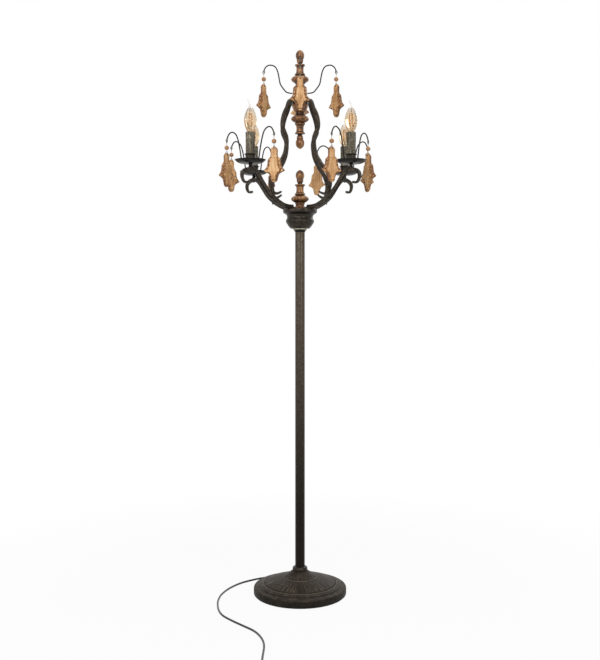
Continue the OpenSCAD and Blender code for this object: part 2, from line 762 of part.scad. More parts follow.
// ---- Candles ----
module at_candles() {
    for (az = AZ_ARMS)
        rotate([0, 0, az])
            translate([candle_r, 0, 0])
                children();
}
pan_r = pan_d / 2;
PAN_SIDE = [[0.37, 0], [0.5, 0.03], [0.64, 0.11], [0.78, 0.29], [0.88, 0.53], [0.95, 0.78]];
function pan_under() = concat(
    [[stem_d / 2 + slip, 0]],
    [for (p = PAN_SIDE) [pan_r * p[0], pan_h * p[1]]],
    [[pan_r, pan_h - 0.8]]);
function pan_over() = concat(
    [[pan_r, pan_h], [pan_r - 1.2, pan_h]],
    flip([for (p = PAN_SIDE) [pan_r * p[0] - pan_t * 0.4, pan_h * p[1] + pan_t]]),
    [[stem_d / 2 + slip, pan_t]]);
module drip_pans() {
    color([0.27, 0.22, 0.18])
        at_candles()
            translate([0, 0, z_pan])
                lathe(concat(pan_under(), pan_over()));
}
module candle_fixing() {
    translate([0, 0, z_peak + flat_cut - arm_t / 2 - pin_nut_h - 1.4])
        cylinder(d = screw_pin_d, h = arm_t + pin_nut_h + 1.4, $fn = fn_small);
    difference() {
        union() {
            translate([0, 0, z_seat])
                cylinder(d = seat_d, h = pan_lift, $fn = fn_small);
            translate([0, 0, z_seat])
                cylinder(d = stem_d, h = stem_top - z_seat, $fn = fn_small);
        }
        translate([0, 0, z_seat + 2])
            cylinder(d = stem_bore, h = stem_top, $fn = fn_small);
        translate([-seat_d, -branch_d / 2 - 0.5, z_seat + 2])
            cube([seat_d, branch_d + 1, pan_lift - 2]);
    }
    nut(cup_nut_w, stem_d + 2 * slip, z_cup + pan_t, 3);
    nut(pin_nut_w, screw_pin_d + 2 * slip, z_peak - arm_t / 2 + flat_cut - pin_nut_h, pin_nut_h);
}
module candle_fixings() {
    color([0.55, 0.5, 0.4])
        at_candles()
            candle_fixing();
}
module candle_cups() {
    bore = sleeve_d / 2 + slip;
    color([0.26, 0.22, 0.18])
        at_candles()
            lathe([
                [stem_d / 2 + slip, z_cup], [cup_d / 2 - 1, z_cup], [cup_d / 2, z_cup + 1],
                [cup_d / 2, z_flange - flange_t], [flange_d / 2, z_flange - flange_t], [flange_d / 2, z_flange],
                [bore, z_flange], [bore, z_cup + pan_t], [stem_d / 2 + slip, z_cup + pan_t]
            ], fn_mid);
}
module candle_sleeves() {
    r = sleeve_d / 2;
    z0 = z_cup + pan_t;
    color([0.72, 0.66, 0.55])
        at_candles()
            lathe([
                [r - sleeve_wall, z0 + seat], [r, z0 + seat], [r, z_sleeve - 16], [r + 0.5, z_sleeve - 10],
                [r + 0.5, z_sleeve - 1], [r, z_sleeve], [r - sleeve_wall, z_sleeve]
            ], fn_mid);
}
module lamp_holders() {
    r = holder_d / 2;
    z0 = z_holder - holder_len;
    color([0.13, 0.13, 0.13])
        at_candles()
            lathe([
                [stem_d / 2 + slip, z0], [r - 4, z0], [r - 4, z0 + 12], [r, z0 + 16], [r, z_holder],
                [cap_d / 2 + run_gap, z_holder], [cap_d / 2 + run_gap, z_holder - cap_h - 1],
                [stem_bore / 2, z_holder - cap_h - 1], [stem_bore / 2, stem_top + seat],
                [stem_d / 2 + slip, stem_top + seat]
            ], fn_mid);
}
// Outline of the glass from its neck to its tip, as shares of its radius and height
GLASS = [
    [0.42, 0], [0.5, 0.05], [0.66, 0.15], [0.84, 0.27], [0.96, 0.39], [1, 0.48], [0.96, 0.6],
    [0.82, 0.73], [0.6, 0.85], [0.36, 0.95], [0.2, 1]
];
glass_z = holder_low + bulb_h - 0.6;
module bulb_body() {
    r = bulb_d / 2;
    difference() {
        union() {
            lathe(concat([[0, 0]], [for (p = GLASS) [r * p[0], glass_z * p[1]]], [[0, glass_z]]), fn_mid);
            translate([0, 0, glass_z - 5])
                rotate([0, -tail_lean, 0])
                    cylinder(d1 = 8.4, d2 = 2, h = tail_h, $fn = fn_small);
        }
        lathe(concat(
            [[0, glass_t]],
            [for (p = GLASS) if (p[1] < 0.97) [r * p[0] - glass_t, glass_t + (glass_z - 4) * p[1]]],
            [[0, glass_z - 3]]), fn_mid);
    }
    cylinder(d1 = 6, d2 = 4, h = 20, $fn = fn_small);
    for (a = [0 : 90 : 270])
        rotate([0, 0, a])
            translate([3.4, 0, 18])
                cylinder(d = 1.6, h = 32, $fn = fn_small);
    translate([0, 0, 17])
        cylinder(d = 9, h = 1.6, $fn = fn_small);
    translate([0, 0, -cap_h])
        lathe([
            [0, 0], [2.4, 0], [3.4, 2.2], [cap_d / 2 - 1.6, 3.4], [cap_d / 2, 5], [cap_d / 2, cap_h],
            [0, cap_h]
        ], fn_mid);
}
module bulb_at(az) {
    rotate([0, 0, az])
        translate([candle_r, 0, z_holder + 0.6])
            rotate([0, 0, -az])
                bulb_body();
}
module bulb_fl() {
    color([0.85, 0.6, 0.25])
        bulb_at(AZ_FL);
}
module bulb_fr() {
    color([0.85, 0.6, 0.25])
        bulb_at(AZ_FR);
}
module bulb_rr() {
    color([0.85, 0.6, 0.25])
        bulb_at(AZ_RR);
}
module bulb_rl() {
    color([0.85, 0.6, 0.25])
        bulb_at(AZ_RL);
}

// ---- Wiring ----
wire_lift = groove_w / 2 - branch_d / 2 - 0.4;
wire_last = [for (i = [0 : groove_end]) if (arm_path[i][0] < candle_r - branch_up) i];
branch_drop = arm_t / 2 - groove_w / 2 - wire_lift;
branch_start = [
    [2.4, z_plate - 22], [2.4, z_plate - 18], [3.4, z_plate - 13], [wire_hole_r * 0.27, z_plate - 9.5],
    [wire_hole_r * 0.51, z_plate - 9.5], [wire_hole_r * 0.75, z_plate - 9.5], [wire_hole_r * 0.9, z_plate - 8.4],
    [wire_hole_r - 0.5, z_plate - 4.6], [wire_hole_r, z_plate], [wire_hole_r, z_plate + 8],
    [wire_hole_r, z_hub - 1.5], [wire_hole_r + 0.9, z_hub + 1.8], [wire_hole_r + 3, z_arm - branch_drop]
];
branch_groove = [for (i = wire_last) if (i >= 3 && i % 2 == 1)
    arm_path[i] - left_of(heading(arm_path, i)) * branch_drop];
branch_end = [
    [candle_r - 13.8, z_seat - 5.5], [candle_r - 12.4, z_seat - 0.5], [candle_r - 9.6, z_seat + 3.6],
    [candle_r - 5.6, z_seat + 5], [candle_r - 1.6, z_seat + 6.8], [candle_r, z_seat + 12], [candle_r, z_seat + 24]
];
branch_path = curve(concat(branch_start, branch_groove, branch_end), 2);
module lamp_wiring() {
    color([0.1, 0.1, 0.1]) {
        translate([0, 0, boss_z - 2])
            cylinder(d = cable_d, h = z_plate - 23 - boss_z + 2, $fn = fn_small);
        for (az = AZ_ARMS)
            rotate([0, 0, az])
                flat_tube(branch_path, branch_d, 6);
    }
}

// ---- Wires and hangers ----
CROWN_SHAPE = [
    [0.008, 0], [0.2, 0.035], [0.305, 0.14], [0.43, 0.335], [0.48, 0.585], [0.53, 0.8], [0.625, 0.955],
    [0.81, 1], [0.94, 0.915]
];
crown_path = curve(concat(
    [for (p = CROWN_SHAPE)
        [crown_collar_d / 2 + seat + (crown_reach - crown_collar_d / 2) * p[0], z_crown_wire + crown_rise * p[1]]],
    [[crown_reach, z_crown_eye + 2 * eye_r]]), 2);
// Height of the drip pan's upper face at a distance from the candle's axis
function pan_face(r) = z_pan + lookup(r, [for (p = PAN_SIDE) [pan_r * p[0] - pan_t * 0.4, pan_h * p[1] + pan_t]]);
foot_in = pan_face(pan_root - wire_d / 2);
foot_out = pan_face(pan_root + wire_d / 2);
foot_z = (foot_in + foot_out) / 2 + 1.5 * seat;
foot_up = unit([foot_in - foot_out, wire_d]);
PAN_SHAPE = [
    [0.04, 0.15], [0.1, 0.35], [0.17, 0.55], [0.26, 0.75], [0.4, 0.92], [0.64, 1], [0.85, 0.95]
];
pan_path = curve(concat(
    [for (t = [0, 0.8, 2.4]) [pan_root, foot_z] + t * foot_up],
    [for (p = PAN_SHAPE) [lerp(pan_root, pan_reach, p[0]), lerp(foot_z, z_pan + pan_rise, p[1])]],
    [[pan_reach, z_pan_eye + 2 * eye_r]]), 2);
module eye(x, z) {
    translate([x, 0, z + eye_r])
        rotate([90, 0, 0])
            rotate_extrude($fn = fn_small)
                translate([eye_r, 0])
                    circle(d = eye_wire, $fn = fn_small);
}
module crown_wires() {
    color([0.3, 0.26, 0.22])
        for (az = AZ_WIRES)
            rotate([0, 0, az]) {
                flat_tube(crown_path, wire_d, sides);
                eye(crown_reach, z_crown_eye);
            }
}
module at_candle(az, turn) {
    translate([candle_r * cos(az), candle_r * sin(az), 0])
        rotate([0, 0, turn])
            children();
}
module pan_wires() {
    color([0.3, 0.26, 0.22])
        for (w = PAN_WIRES)
            at_candle(w[0], w[1]) {
                flat_tube(pan_path, wire_d, sides);
                eye(pan_reach, z_pan_eye);
            }
}
// Half widths of the drop from its top to its bottom, as shares of its length and half width
DROP_SHAPE = [
    [0, 0.06], [0.03, 0.2], [0.06, 0.285], [0.1, 0.345], [0.18, 0.33], [0.25, 0.345], [0.29, 0.38],
    [0.325, 0.49], [0.36, 0.585], [0.41, 0.62], [0.47, 0.645], [0.53, 0.68], [0.58, 0.75], [0.625, 0.87],
    [0.67, 1], [0.7, 0.9], [0.735, 0.66], [0.78, 0.47], [0.83, 0.4], [0.88, 0.36], [0.92, 0.33],
    [0.96, 0.28], [0.985, 0.2], [1, 0.08]
];
module drop_board(share, from, to, t) {
    p = [for (q = DROP_SHAPE) if (q[0] >= from && q[0] <= to) [q[1] * share * drop_w / 2, -q[0] * drop_len]];
    rotate([90, 0, 0])
        linear_extrude(height = t)
            polygon(concat(p, [for (q = flip(p)) [-q[0], q[1]]]));
}
module hanger(turn) {
    rotate([0, 90, 0])
        rotate_extrude($fn = fn_small)
            translate([loop_r, 0])
                circle(d = pin_d, $fn = fn_small);
    translate([0, 0, -pin_len - 1.5 + hook_r])
        cylinder(d = pin_d, h = pin_len + 1.5 - hook_r - loop_r, $fn = fn_small);
    translate([0, 0, -bead_at])
        difference() {
            sphere(d = bead_d, $fn = fn_mid);
            cylinder(d = pin_d + 2 * slip, h = 2 * bead_d, center = true, $fn = fn_small);
        }
    rotate([0, 0, turn])
        translate([0, 0, -pin_len]) {
            translate([0, 0, -1.5])
                rotate([0, 90, 0])
                    rotate_extrude($fn = fn_small)
                        translate([hook_r, 0])
                            circle(d = pin_d, $fn = fn_small);
            difference() {
                union() {
                    translate([0, drop_t / 2, 0])
                        drop_board(1, 0, 1, drop_t);
                    translate([0, -drop_t / 2 + cut, 0])
                        drop_board(0.7, 0.32, 0.93, panel_t + cut);
                }
                translate([0, 0, -5.4])
                    rotate([90, 0, 0])
                        cylinder(d = hole_d, h = 3 * drop_t, center = true, $fn = fn_small);
            }
        }
}
module crown_drop(az, turn) {
    rotate([0, 0, az])
        translate([crown_reach, 0, z_crown_eye])
            hanger(turn - az);
}
module crown_drop_front() {
    color([0.78, 0.56, 0.35])
        crown_drop(AZ_FRONT, CROWN_TURN[0]);
}
module crown_drop_right() {
    color([0.78, 0.56, 0.35])
        crown_drop(AZ_RIGHT, CROWN_TURN[1]);
}
module crown_drop_back() {
    color([0.78, 0.56, 0.35])
        crown_drop(AZ_BACK, CROWN_TURN[2]);
}
module crown_drop_left() {
    color([0.78, 0.56, 0.35])
        crown_drop(AZ_LEFT, CROWN_TURN[3]);
}
module pan_drop(w) {
    color([0.78, 0.56, 0.35])
        at_candle(w[0], w[1])
            translate([pan_reach, 0, z_pan_eye])
                hanger(w[2] - w[1]);
}
module pan_drop_1() {
    pan_drop(PAN_WIRES[0]);
}
module pan_drop_2() {
    pan_drop(PAN_WIRES[1]);
}
module pan_drop_3() {
    pan_drop(PAN_WIRES[2]);
}
module pan_drop_4() {
    pan_drop(PAN_WIRES[3]);
}
module pan_drop_5() {
    pan_drop(PAN_WIRES[4]);
}
module pan_drop_6() {
    pan_drop(PAN_WIRES[5]);
}
module pan_drop_7() {
    pan_drop(PAN_WIRES[6]);
}
module pan_drop_8() {
    pan_drop(PAN_WIRES[7]);
}

// ---- Cord ----
cord_r = cord_d / 2;
// A point on the bearing of the cord's exit
function on_exit(r, z) = [r * cos(exit_az), r * sin(exit_az), z];
// The switch, the coil and the plug lie in front of the lamp
switch_x = -90;
switch_y = -570;
switch_z = 9;
switch_bore = 9;
route_in = [
    [0, 0, boss_z - 4], [0, 0, nipple_z - 1], on_exit(6, 22), on_exit(24, 12.4), on_exit(50, exit_z),
    on_exit(rim_r * 0.6, exit_z), on_exit(rim_r * 0.72, exit_z), on_exit(rim_r * 0.84, exit_z),
    on_exit(rim_r * 0.975, exit_z)
];
route_out = [
    on_exit(rim_r + bushing_out, exit_z), on_exit(rim_r + bushing_out + 6, exit_z - 0.4),
    [-103, 126, 4.6], [-119, 125, cord_r], [-150, 104, cord_r], [-179, 77, cord_r], [-206, 35, cord_r],
    [-225, -17, cord_r], [-231, -67, cord_r], [-229, -108, cord_r], [-222, -151, cord_r],
    [-208, -189, cord_r], [-181, -226, cord_r], [-150, -262, cord_r], [-118, -300, cord_r],
    [-98, -345, cord_r], [-89, -395, cord_r], [switch_x, switch_y + 106, cord_r],
    [switch_x, switch_y + 78, cord_r], [switch_x, switch_y + 62, 6.2],
    [switch_x, switch_y + switch_len / 2 + cord_d, switch_z],
    [switch_x, switch_y + switch_len / 2, switch_z],
    [switch_x, switch_y + switch_len / 2 - switch_bore + cut, switch_z]
];
module cord_run() {
    color([0.08, 0.08, 0.08])
        tube(curve(concat(route_in, route_out), 2), cord_d, sides);
}
// The coil: three loops spiral in on the floor, climb, and spiral out again on top
coil_turns = 3;
coil_in = 22;
coil_pitch = 7.5;
coil_out = coil_in + coil_turns * coil_pitch;
coil_lift = cord_d + 0.6;
coil_seg = 24;
coil_x = switch_x + coil_out;
coil_y = switch_y - 96;
coil_total = 2 * coil_turns + 0.5;
function coil_radius(t) =
    t <= coil_turns ? coil_out - coil_pitch * t :
    t <= coil_turns + 0.5 ? coil_in : coil_in + coil_pitch * (t - coil_turns - 0.5);
function coil_z(t) = cord_r + coil_lift * ease(clamp01((t - coil_turns) * 2));
function coil_point(t) = [
    coil_x + coil_radius(t) * cos(180 + 360 * t), coil_y + coil_radius(t) * sin(180 + 360 * t), coil_z(t)
];
coil_loops = [for (i = [0 : coil_total * coil_seg]) coil_point(i / coil_seg)];
coil_back = switch_y - switch_len / 2;
coil_lead = curve([
    [switch_x, coil_back + switch_bore - cut, switch_z], [switch_x, coil_back, switch_z],
    [switch_x, coil_back - cord_d, switch_z], [switch_x, coil_back - 20, 6.4],
    [switch_x, coil_back - 34, cord_r + 0.4], [switch_x, coil_y + 6, cord_r]
], 2);
plug_x = coil_x + coil_out;
plug_y = coil_y + 34;
plug_z = cord_r + coil_lift;
coil_tail = [
    [plug_x, coil_y + 8, plug_z], [plug_x, coil_y + 20, plug_z], [plug_x, plug_y, plug_z],
    [plug_x, plug_y + switch_bore - cut, plug_z]
];
coil_path = concat(coil_lead, coil_loops, coil_tail);
coil_gap = min([for (i = [0 : len(coil_loops) - 1]) for (j = [i + coil_seg / 2 : 1 : len(coil_loops) - 1])
    norm(coil_loops[i] - coil_loops[j])]) - cord_d;
echo(coil_gap = coil_gap);
module cord_coil() {
    color([0.08, 0.08, 0.08])
        tube(coil_path, cord_d, 6);
}

// ---- Foot switch and plug ----
button_well = button_d + 0.6;
button_h = 12;
switch_floor = 3;
module slab(l, w, z0, z1) {
    r = w / 2;
    translate([0, 0, z0])
        linear_extrude(height = z1 - z0)
            union() {
                square([w, l - w], center = true);
                translate([0, (l - w) / 2])
                    circle(r = r, $fn = fn_mid);
                translate([0, -(l - w) / 2])
                    circle(r = r, $fn = fn_mid);
            }
}
module foot_switch() {
    color([0.1, 0.1, 0.1])
        translate([switch_x, switch_y, 0])
            difference() {
                union() {
                    slab(switch_len, switch_w, 0, switch_h - 5);
                    slab(switch_len - 4, switch_w - 4, switch_h - 6, switch_h - 2.5);
                    slab(switch_len - 9, switch_w - 9, switch_h - 4, switch_h);
                }
                translate([0, 0, switch_floor])
                    cylinder(d = button_well, h = switch_h, $fn = fn_mid);
                for (s = [-1, 1])
                    translate([0, s * (switch_len / 2 - switch_bore), switch_z])
                        rotate([-90 * s, 0, 0])
                            cylinder(d = cord_d + 2 * cord_gap, h = switch_bore + cut, $fn = fn_small);
            }
}
module switch_button() {
    z1 = switch_h + button_travel + 0.8;
    r = button_d / 2;
    color([0.16, 0.16, 0.16])
        translate([switch_x, switch_y, 0])
            lathe([
                [0, z1 - button_h], [r, z1 - button_h], [r, z1 - 1.6], [r - 1.6, z1], [0, z1]
            ], fn_mid);
}
pin_gap = 19;
plug_pin_d = 4;
plug_pin_len = 19;
module plug() {
    color([0.1, 0.1, 0.1])
        translate([plug_x, plug_y, plug_z])
            rotate([-90, 0, 0]) {
                difference() {
                    union() {
                        translate([-plug_w / 2, -plug_z + 2, plug_len * 0.3])
                            cube([plug_w, 2 * plug_z - 4, plug_len * 0.7]);
                        cylinder(d1 = 11, d2 = 2 * plug_z - 4, h = plug_len * 0.4, $fn = fn_small);
                    }
                    translate([0, 0, -cut])
                        cylinder(d = cord_d + 2 * cord_gap, h = switch_bore + cut, $fn = fn_small);
                }
                for (s = [-1, 1])
                    translate([s * pin_gap / 2, 0, plug_len - cut])
                        cylinder(d = plug_pin_d, h = plug_pin_len + cut, $fn = fn_small);
            }
}

base_felt();
base_casting();
base_nipple();
base_nut();
cord_bushing();
foot_collar();
pole_lower();
pole_coupler();
pole_upper();
hub_collar();
hub_ring();
hub_bowl();
hub_plate();
hub_tube();
hub_nut();
arm_screws();
lower_finial();
lower_arm_fl();
lower_arm_fr();
lower_arm_rr();
lower_arm_rl();
cage_arm_fl();
cage_arm_fr();
cage_arm_rr();
cage_arm_rl();
crown_ring();
crown_collar();
crown_cup();
crown_rod();
upper_finial();
drop_finial();
drip_pans();
candle_fixings();
candle_cups();
candle_sleeves();
lamp_holders();
bulb_fl();
bulb_fr();
bulb_rr();
bulb_rl();
lamp_wiring();
crown_wires();
pan_wires();
crown_drop_front();
crown_drop_right();
crown_drop_back();
crown_drop_left();
pan_drop_1();
pan_drop_2();
pan_drop_3();
pan_drop_4();
pan_drop_5();
pan_drop_6();
pan_drop_7();
pan_drop_8();
cord_run();
cord_coil();
foot_switch();
switch_button();
plug();
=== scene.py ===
"""Candlestick floor lamp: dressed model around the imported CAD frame."""
import math
import random

import bmesh
import bpy
from mathutils import Matrix, Vector


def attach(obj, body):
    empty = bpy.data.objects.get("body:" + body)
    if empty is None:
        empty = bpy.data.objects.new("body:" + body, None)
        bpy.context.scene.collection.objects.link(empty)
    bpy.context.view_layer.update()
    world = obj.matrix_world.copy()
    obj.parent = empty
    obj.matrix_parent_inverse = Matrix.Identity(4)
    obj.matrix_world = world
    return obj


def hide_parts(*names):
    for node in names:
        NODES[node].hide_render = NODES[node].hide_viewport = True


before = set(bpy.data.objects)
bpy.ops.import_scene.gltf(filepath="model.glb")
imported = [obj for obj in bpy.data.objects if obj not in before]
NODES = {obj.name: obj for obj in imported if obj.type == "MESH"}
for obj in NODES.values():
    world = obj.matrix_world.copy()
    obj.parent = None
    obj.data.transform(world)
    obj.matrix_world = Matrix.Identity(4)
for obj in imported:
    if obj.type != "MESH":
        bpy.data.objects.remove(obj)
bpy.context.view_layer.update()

bl_info = {
    "name": "Candlestick floor lamp",
    "version": (1, 0, 0),
    "blender": (4, 5, 0),
    "location": "View3D > Sidebar > Floor lamp",
    "description": "Builds the pieces, finishes and studio of a candlestick floor lamp",
    "category": "Object",
}

MM = 0.001
LAMP = "lamp"

# Bearings of the four arms, seen from above
ARMS = {"fl": 225.85, "fr": 315.85, "rr": 45.85, "rl": 135.85}
# Crown wires: bearing, and how far the drop is turned on its link
CROWN = {"front": (270.0, 11.0), "right": (0.0, -45.0), "back": (90.0, 160.0), "left": (180.0, 48.6)}
# Wires of the pans: arm, bearing from its candle, and how far the drop is turned
PAN = [
    ("fl", 138.5, 50.0), ("rl", 227.2, 40.0), ("rl", 56.5, -70.0), ("fl", 316.0, -15.0),
    ("rr", 313.8, 46.0), ("fr", 55.5, -49.0), ("fr", 233.1, 24.0), ("rr", 154.7, 148.0),
]

# Heights above the floor in millimetres, the part's own to a twentieth; only the candles' threaded
# tubes end 0.9 lower than the part's, out of sight in the sleeves
Z_BASE, Z_JOINT, Z_POLE = 67.0, 557.0, 1047.0
Z_RING, Z_BOWL, Z_PLATE, Z_HUB = 1054.0, 1057.0, 1097.5, 1114.0
Z_ARM, Z_PEAK, Z_SEAT, Z_PAN = 1119.3, 1213.1, 1217.9, 1227.4
Z_CUP, Z_FLANGE, Z_TUBE_TOP, Z_HOLDER = 1228.9, 1254.9, 1273.0, 1312.9
Z_SLEEVE_LOW, Z_SLEEVE = 1230.6, 1314.4
Z_CROWN, Z_RING_TOP, Z_CUP_TOP, Z_CUP_LOW, Z_COLLAR_TOP = 1424.5, 1433.5, 1415.5, 1393.5, 1465.5
Z_CROWN_WIRE, Z_CROWN_EYE, Z_PAN_EYE = 1448.8, 1507.0, 1296.9
# The candles and the crown's drops from the lamp's axis, and the pans' drops from their candle
CANDLE_R, CROWN_REACH, PAN_REACH = 196.0, 105.0, 93.0
# Radii of the bores: around the threaded tubes of base and hub, and around the crown's rod and the
# candles' threaded tubes
FOOT_BORE, HUB_BORE, ROD_BORE = 8.15, 6.15, 4.15


# ---------------------------------------------------------------- shader sums
class Wire:
    """One output of a shader tree; sums on it add Math nodes."""

    def __init__(self, tree, socket):
        self.tree, self.socket = tree, socket

    def maths(self, operation, *others):
        node = add_node(self.tree, "Math", {"operation": operation}, dict(enumerate((self, *others))))
        return Wire(self.tree, node.outputs[0])

    def __add__(self, other):
        return self.maths("ADD", other)

    __radd__ = __add__

    def __mul__(self, other):
        return self.maths("MULTIPLY", other)

    __rmul__ = __mul__

    def __sub__(self, other):
        return self.maths("SUBTRACT", other)

    def __rsub__(self, other):
        return self.maths("MULTIPLY_ADD", -1.0, other)

    def band(self, a, b, c, d):
        """1 from b to c, and 0 below a and above d."""
        return self.between(a, b) * (1.0 - self.between(c, d))

    def between(self, low, high):
        """0 below low, 1 above high, smooth from one to the other."""
        node = add_node(self.tree, "MapRange", {"interpolation_type": "SMOOTHSTEP"},
                        {"Value": self, "From Min": low, "From Max": high})
        return Wire(self.tree, node.outputs["Result"])


def feed(tree, socket, value):
    """Link a wire to that input, or set it to a number or a colour."""
    if isinstance(value, Wire):
        tree.links.new(value.socket, socket)
    elif isinstance(value, (tuple, list)) and socket.type == "RGBA" and len(value) == 3:
        socket.default_value = (*value, 1.0)
    else:
        socket.default_value = value


def add_node(tree, kind, settings=None, sockets=None):
    """A node of that kind: first its settings, then the values or links of its sockets."""
    node = tree.nodes.new("ShaderNode" + kind)
    for key, value in (settings or {}).items():
        setattr(node, key, value)
    for key, value in (sockets or {}).items():
        feed(tree, node.inputs[key], value)
    return node


FINISH = {}


class Finish:
    """A material with its one principled shader, kept in FINISH under its name."""

    def __init__(self, name, **constants):
        material = FINISH[name] = bpy.data.materials.new(name)
        material.use_nodes = True
        self.tree = material.node_tree
        self.shader = self.tree.nodes["Principled BSDF"]
        self.set(**constants)

    def node(self, kind, settings=None, sockets=None, out=0):
        return Wire(self.tree, add_node(self.tree, kind, settings, sockets).outputs[out])

    def place(self):
        return self.node("TexCoord", out="Object")

    def noise(self, scale, detail=4.0, rough=0.55, at=None, twist=0.0):
        return self.node("TexNoise", None, {"Vector": at or self.place(), "Scale": scale, "Detail": detail,
                                            "Roughness": rough, "Distortion": twist})

    def mix(self, share, a, b):
        """A colour between a and b; the colour sockets of the node are its numbers 6 and 7."""
        return self.node("Mix", {"data_type": "RGBA"}, {0: share, 6: a, 7: b}, out=2)

    def scaled(self, x, y, z):
        return self.node("VectorMath", {"operation": "MULTIPLY"}, {0: self.place(), 1: (x, y, z)})

    def parts(self):
        node = add_node(self.tree, "SeparateXYZ", None, {0: self.place()})
        return [Wire(self.tree, s) for s in node.outputs]

    def join(self, x, y, z):
        return self.node("CombineXYZ", None, {0: x, 1: y, 2: z})

    def bump(self, height, depth, strength=1.0):
        self.set(Normal=self.node("Bump", None, {"Strength": strength, "Distance": depth, "Height": height}))

    def set(self, **values):
        for key, value in values.items():
            feed(self.tree, self.shader.inputs[key.replace("_", " ")], value)


def rgb(code):
    """A colour written as it looks on screen, as the linear numbers a shader takes."""
    values = [int(code[i:i + 2], 16) / 255 for i in (0, 2, 4)]
    return tuple(v / 12.92 if v <= 0.04045 else ((v + 0.055) / 1.055) ** 2.4 for v in values)


def weathered_iron(name, dark, mid, pale, grain=1.0, rubbed=0.4, metal=0.45, rough=0.36, painted_shade_below=None):
    """Dark painted iron with a soft sheen, finely speckled and a little rubbed through.

    The last argument is (low, high, tone): painted shade, the iron taking that darker tone up to the height
    low and its own colour from high upwards."""
    f = Finish(name, Specular_IOR_Level=0.2)
    broad = f.noise(80.0 * grain, 5.0, 0.6)
    fine = f.noise(420.0 * grain, 4.0, 0.65)
    speck = f.noise(1300.0, 2.0, 0.5)
    tone = broad * 0.3 + fine * 0.4 + speck * 0.3
    colour = f.mix(tone.between(0.38, 0.56), dark, mid)
    colour = f.mix(tone.between(0.53, 0.66) * rubbed, colour, pale)
    # painted shade: the iron darkens to the given tone towards the bottom
    if painted_shade_below:
        low, high, deep = painted_shade_below
        colour = f.mix(f.parts()[2].between(low, high) * 0.9 + tone.between(0.5, 0.7) * 0.2, deep, colour)
    f.set(Base_Color=colour, Metallic=metal, Roughness=rough + fine * 0.16 - 0.08)
    f.bump(fine * 0.7 + speck * 0.3, 0.0002, 0.4)


def brushed_base(name, dark, mid, pale):
    """The cast base: its slope brushed from the middle outwards, with painted shade in the grooves and on the
    rim's side and painted highlights on the ridges.
    """
    f = Finish(name, Specular_IOR_Level=0.15)
    x, y, z = f.parts()
    far = (x * x + y * y).maths("SQRT")
    around = y.maths("ARCTAN2", x)
    slope = far.band(0.049, 0.056, 0.096, 0.103)
    streak = f.noise(1.0, 4.0, 0.6, at=f.join(around * 24.0, far * 16.0, 0.0))
    hair = f.noise(1.0, 3.0, 0.6, at=f.join(around * 64.0, far * 60.0, 3.0))
    cloud = f.noise(70.0, 5.0, 0.6)
    speck = f.noise(520.0, 4.0, 0.65)
    lathed = f.noise(1.0, 4.0, 0.6, at=f.join(around * 9.0, far * 900.0, z * 900.0))
    even = cloud * 0.25 + speck * 0.35 + lathed * 0.4
    brushed = streak * 0.5 + hair * 0.5
    tone = even + (brushed - even) * slope
    colour = f.mix(tone.between(0.38, 0.54), dark, mid)
    colour = f.mix(tone.between(0.5, 0.64) * 0.65, colour, pale)
    # painted shade: the rim's side, below the top, is darker
    colour = f.mix(z.between(0.017, 0.0225), f.mix(0.35, dark, colour), colour)
    # painted highlights on the two ridges, painted shade in the three grooves
    outer = far.band(0.1042, 0.1056, 0.1068, 0.1082)
    inner = far.band(0.0478, 0.049, 0.0498, 0.0508)
    groove_shade = far.band(0.1008, 0.1018, 0.1032, 0.1042) + far.band(0.0505, 0.0512, 0.0528, 0.0538)
    groove_shade = groove_shade + far.band(0.1165, 0.1172, 0.1182, 0.119)
    colour = f.mix((outer + inner) * 0.45, colour, pale)
    colour = f.mix(groove_shade * 0.75, colour, dark)
    f.set(Base_Color=colour, Metallic=0.2, Roughness=0.46 + speck * 0.16)
    f.bump(brushed * slope + even * 0.4, 0.0008, 0.6)


def glazed_wood(name, dark, mid, gold):
    """Turned wood under a bronze-gold glaze: fine lathe rings, open grain, paler gold in random patches."""
    f = Finish(name, Specular_IOR_Level=0.3)
    x, y, z = f.parts()
    rings = f.noise(1.0, 3.0, 0.5, at=f.join(x * 12.0, y * 12.0, z * 520.0))
    grain = f.noise(1.0, 5.0, 0.6, at=f.join(x * 240.0, y * 240.0, z * 26.0), twist=0.6)
    cloud = f.noise(70.0, 4.0, 0.6)
    tone = grain * 0.4 + cloud * 0.4 + rings * 0.2
    colour = f.mix(tone.between(0.4, 0.52), dark, mid)
    colour = f.mix(tone.between(0.5, 0.63), colour, gold)
    f.set(Base_Color=colour, Metallic=0.3, Roughness=0.36 - tone.between(0.5, 0.7) * 0.1,
          Coat_Weight=0.18, Coat_Roughness=0.2)
    f.bump(rings * 0.4 + grain * 0.6, 0.00025, 0.4)


def carved_wood(name, dark, mid, pale):
    """Light brown carved drops, grain from top to bottom."""
    f = Finish(name)
    x, y, z = f.parts()
    grain = f.noise(1.0, 6.0, 0.62, at=f.join(x * 150.0, y * 150.0, z * 16.0), twist=1.2)
    pores = f.noise(1.0, 2.0, 0.5, at=f.join(x * 900.0, y * 900.0, z * 60.0))
    cloud = f.noise(36.0, 3.0, 0.5)
    tone = grain * 0.6 + cloud * 0.4
    colour = f.mix(tone.between(0.34, 0.52), dark, mid)
    colour = f.mix(tone.between(0.48, 0.7), colour, pale)
    colour = f.mix(pores.between(0.58, 0.7) * 0.45, colour, dark)
    f.set(Base_Color=colour, Roughness=0.6 - tone.between(0.5, 0.7) * 0.1)
    f.bump(grain * 0.7 + pores * 0.3, 0.0004, 0.5)


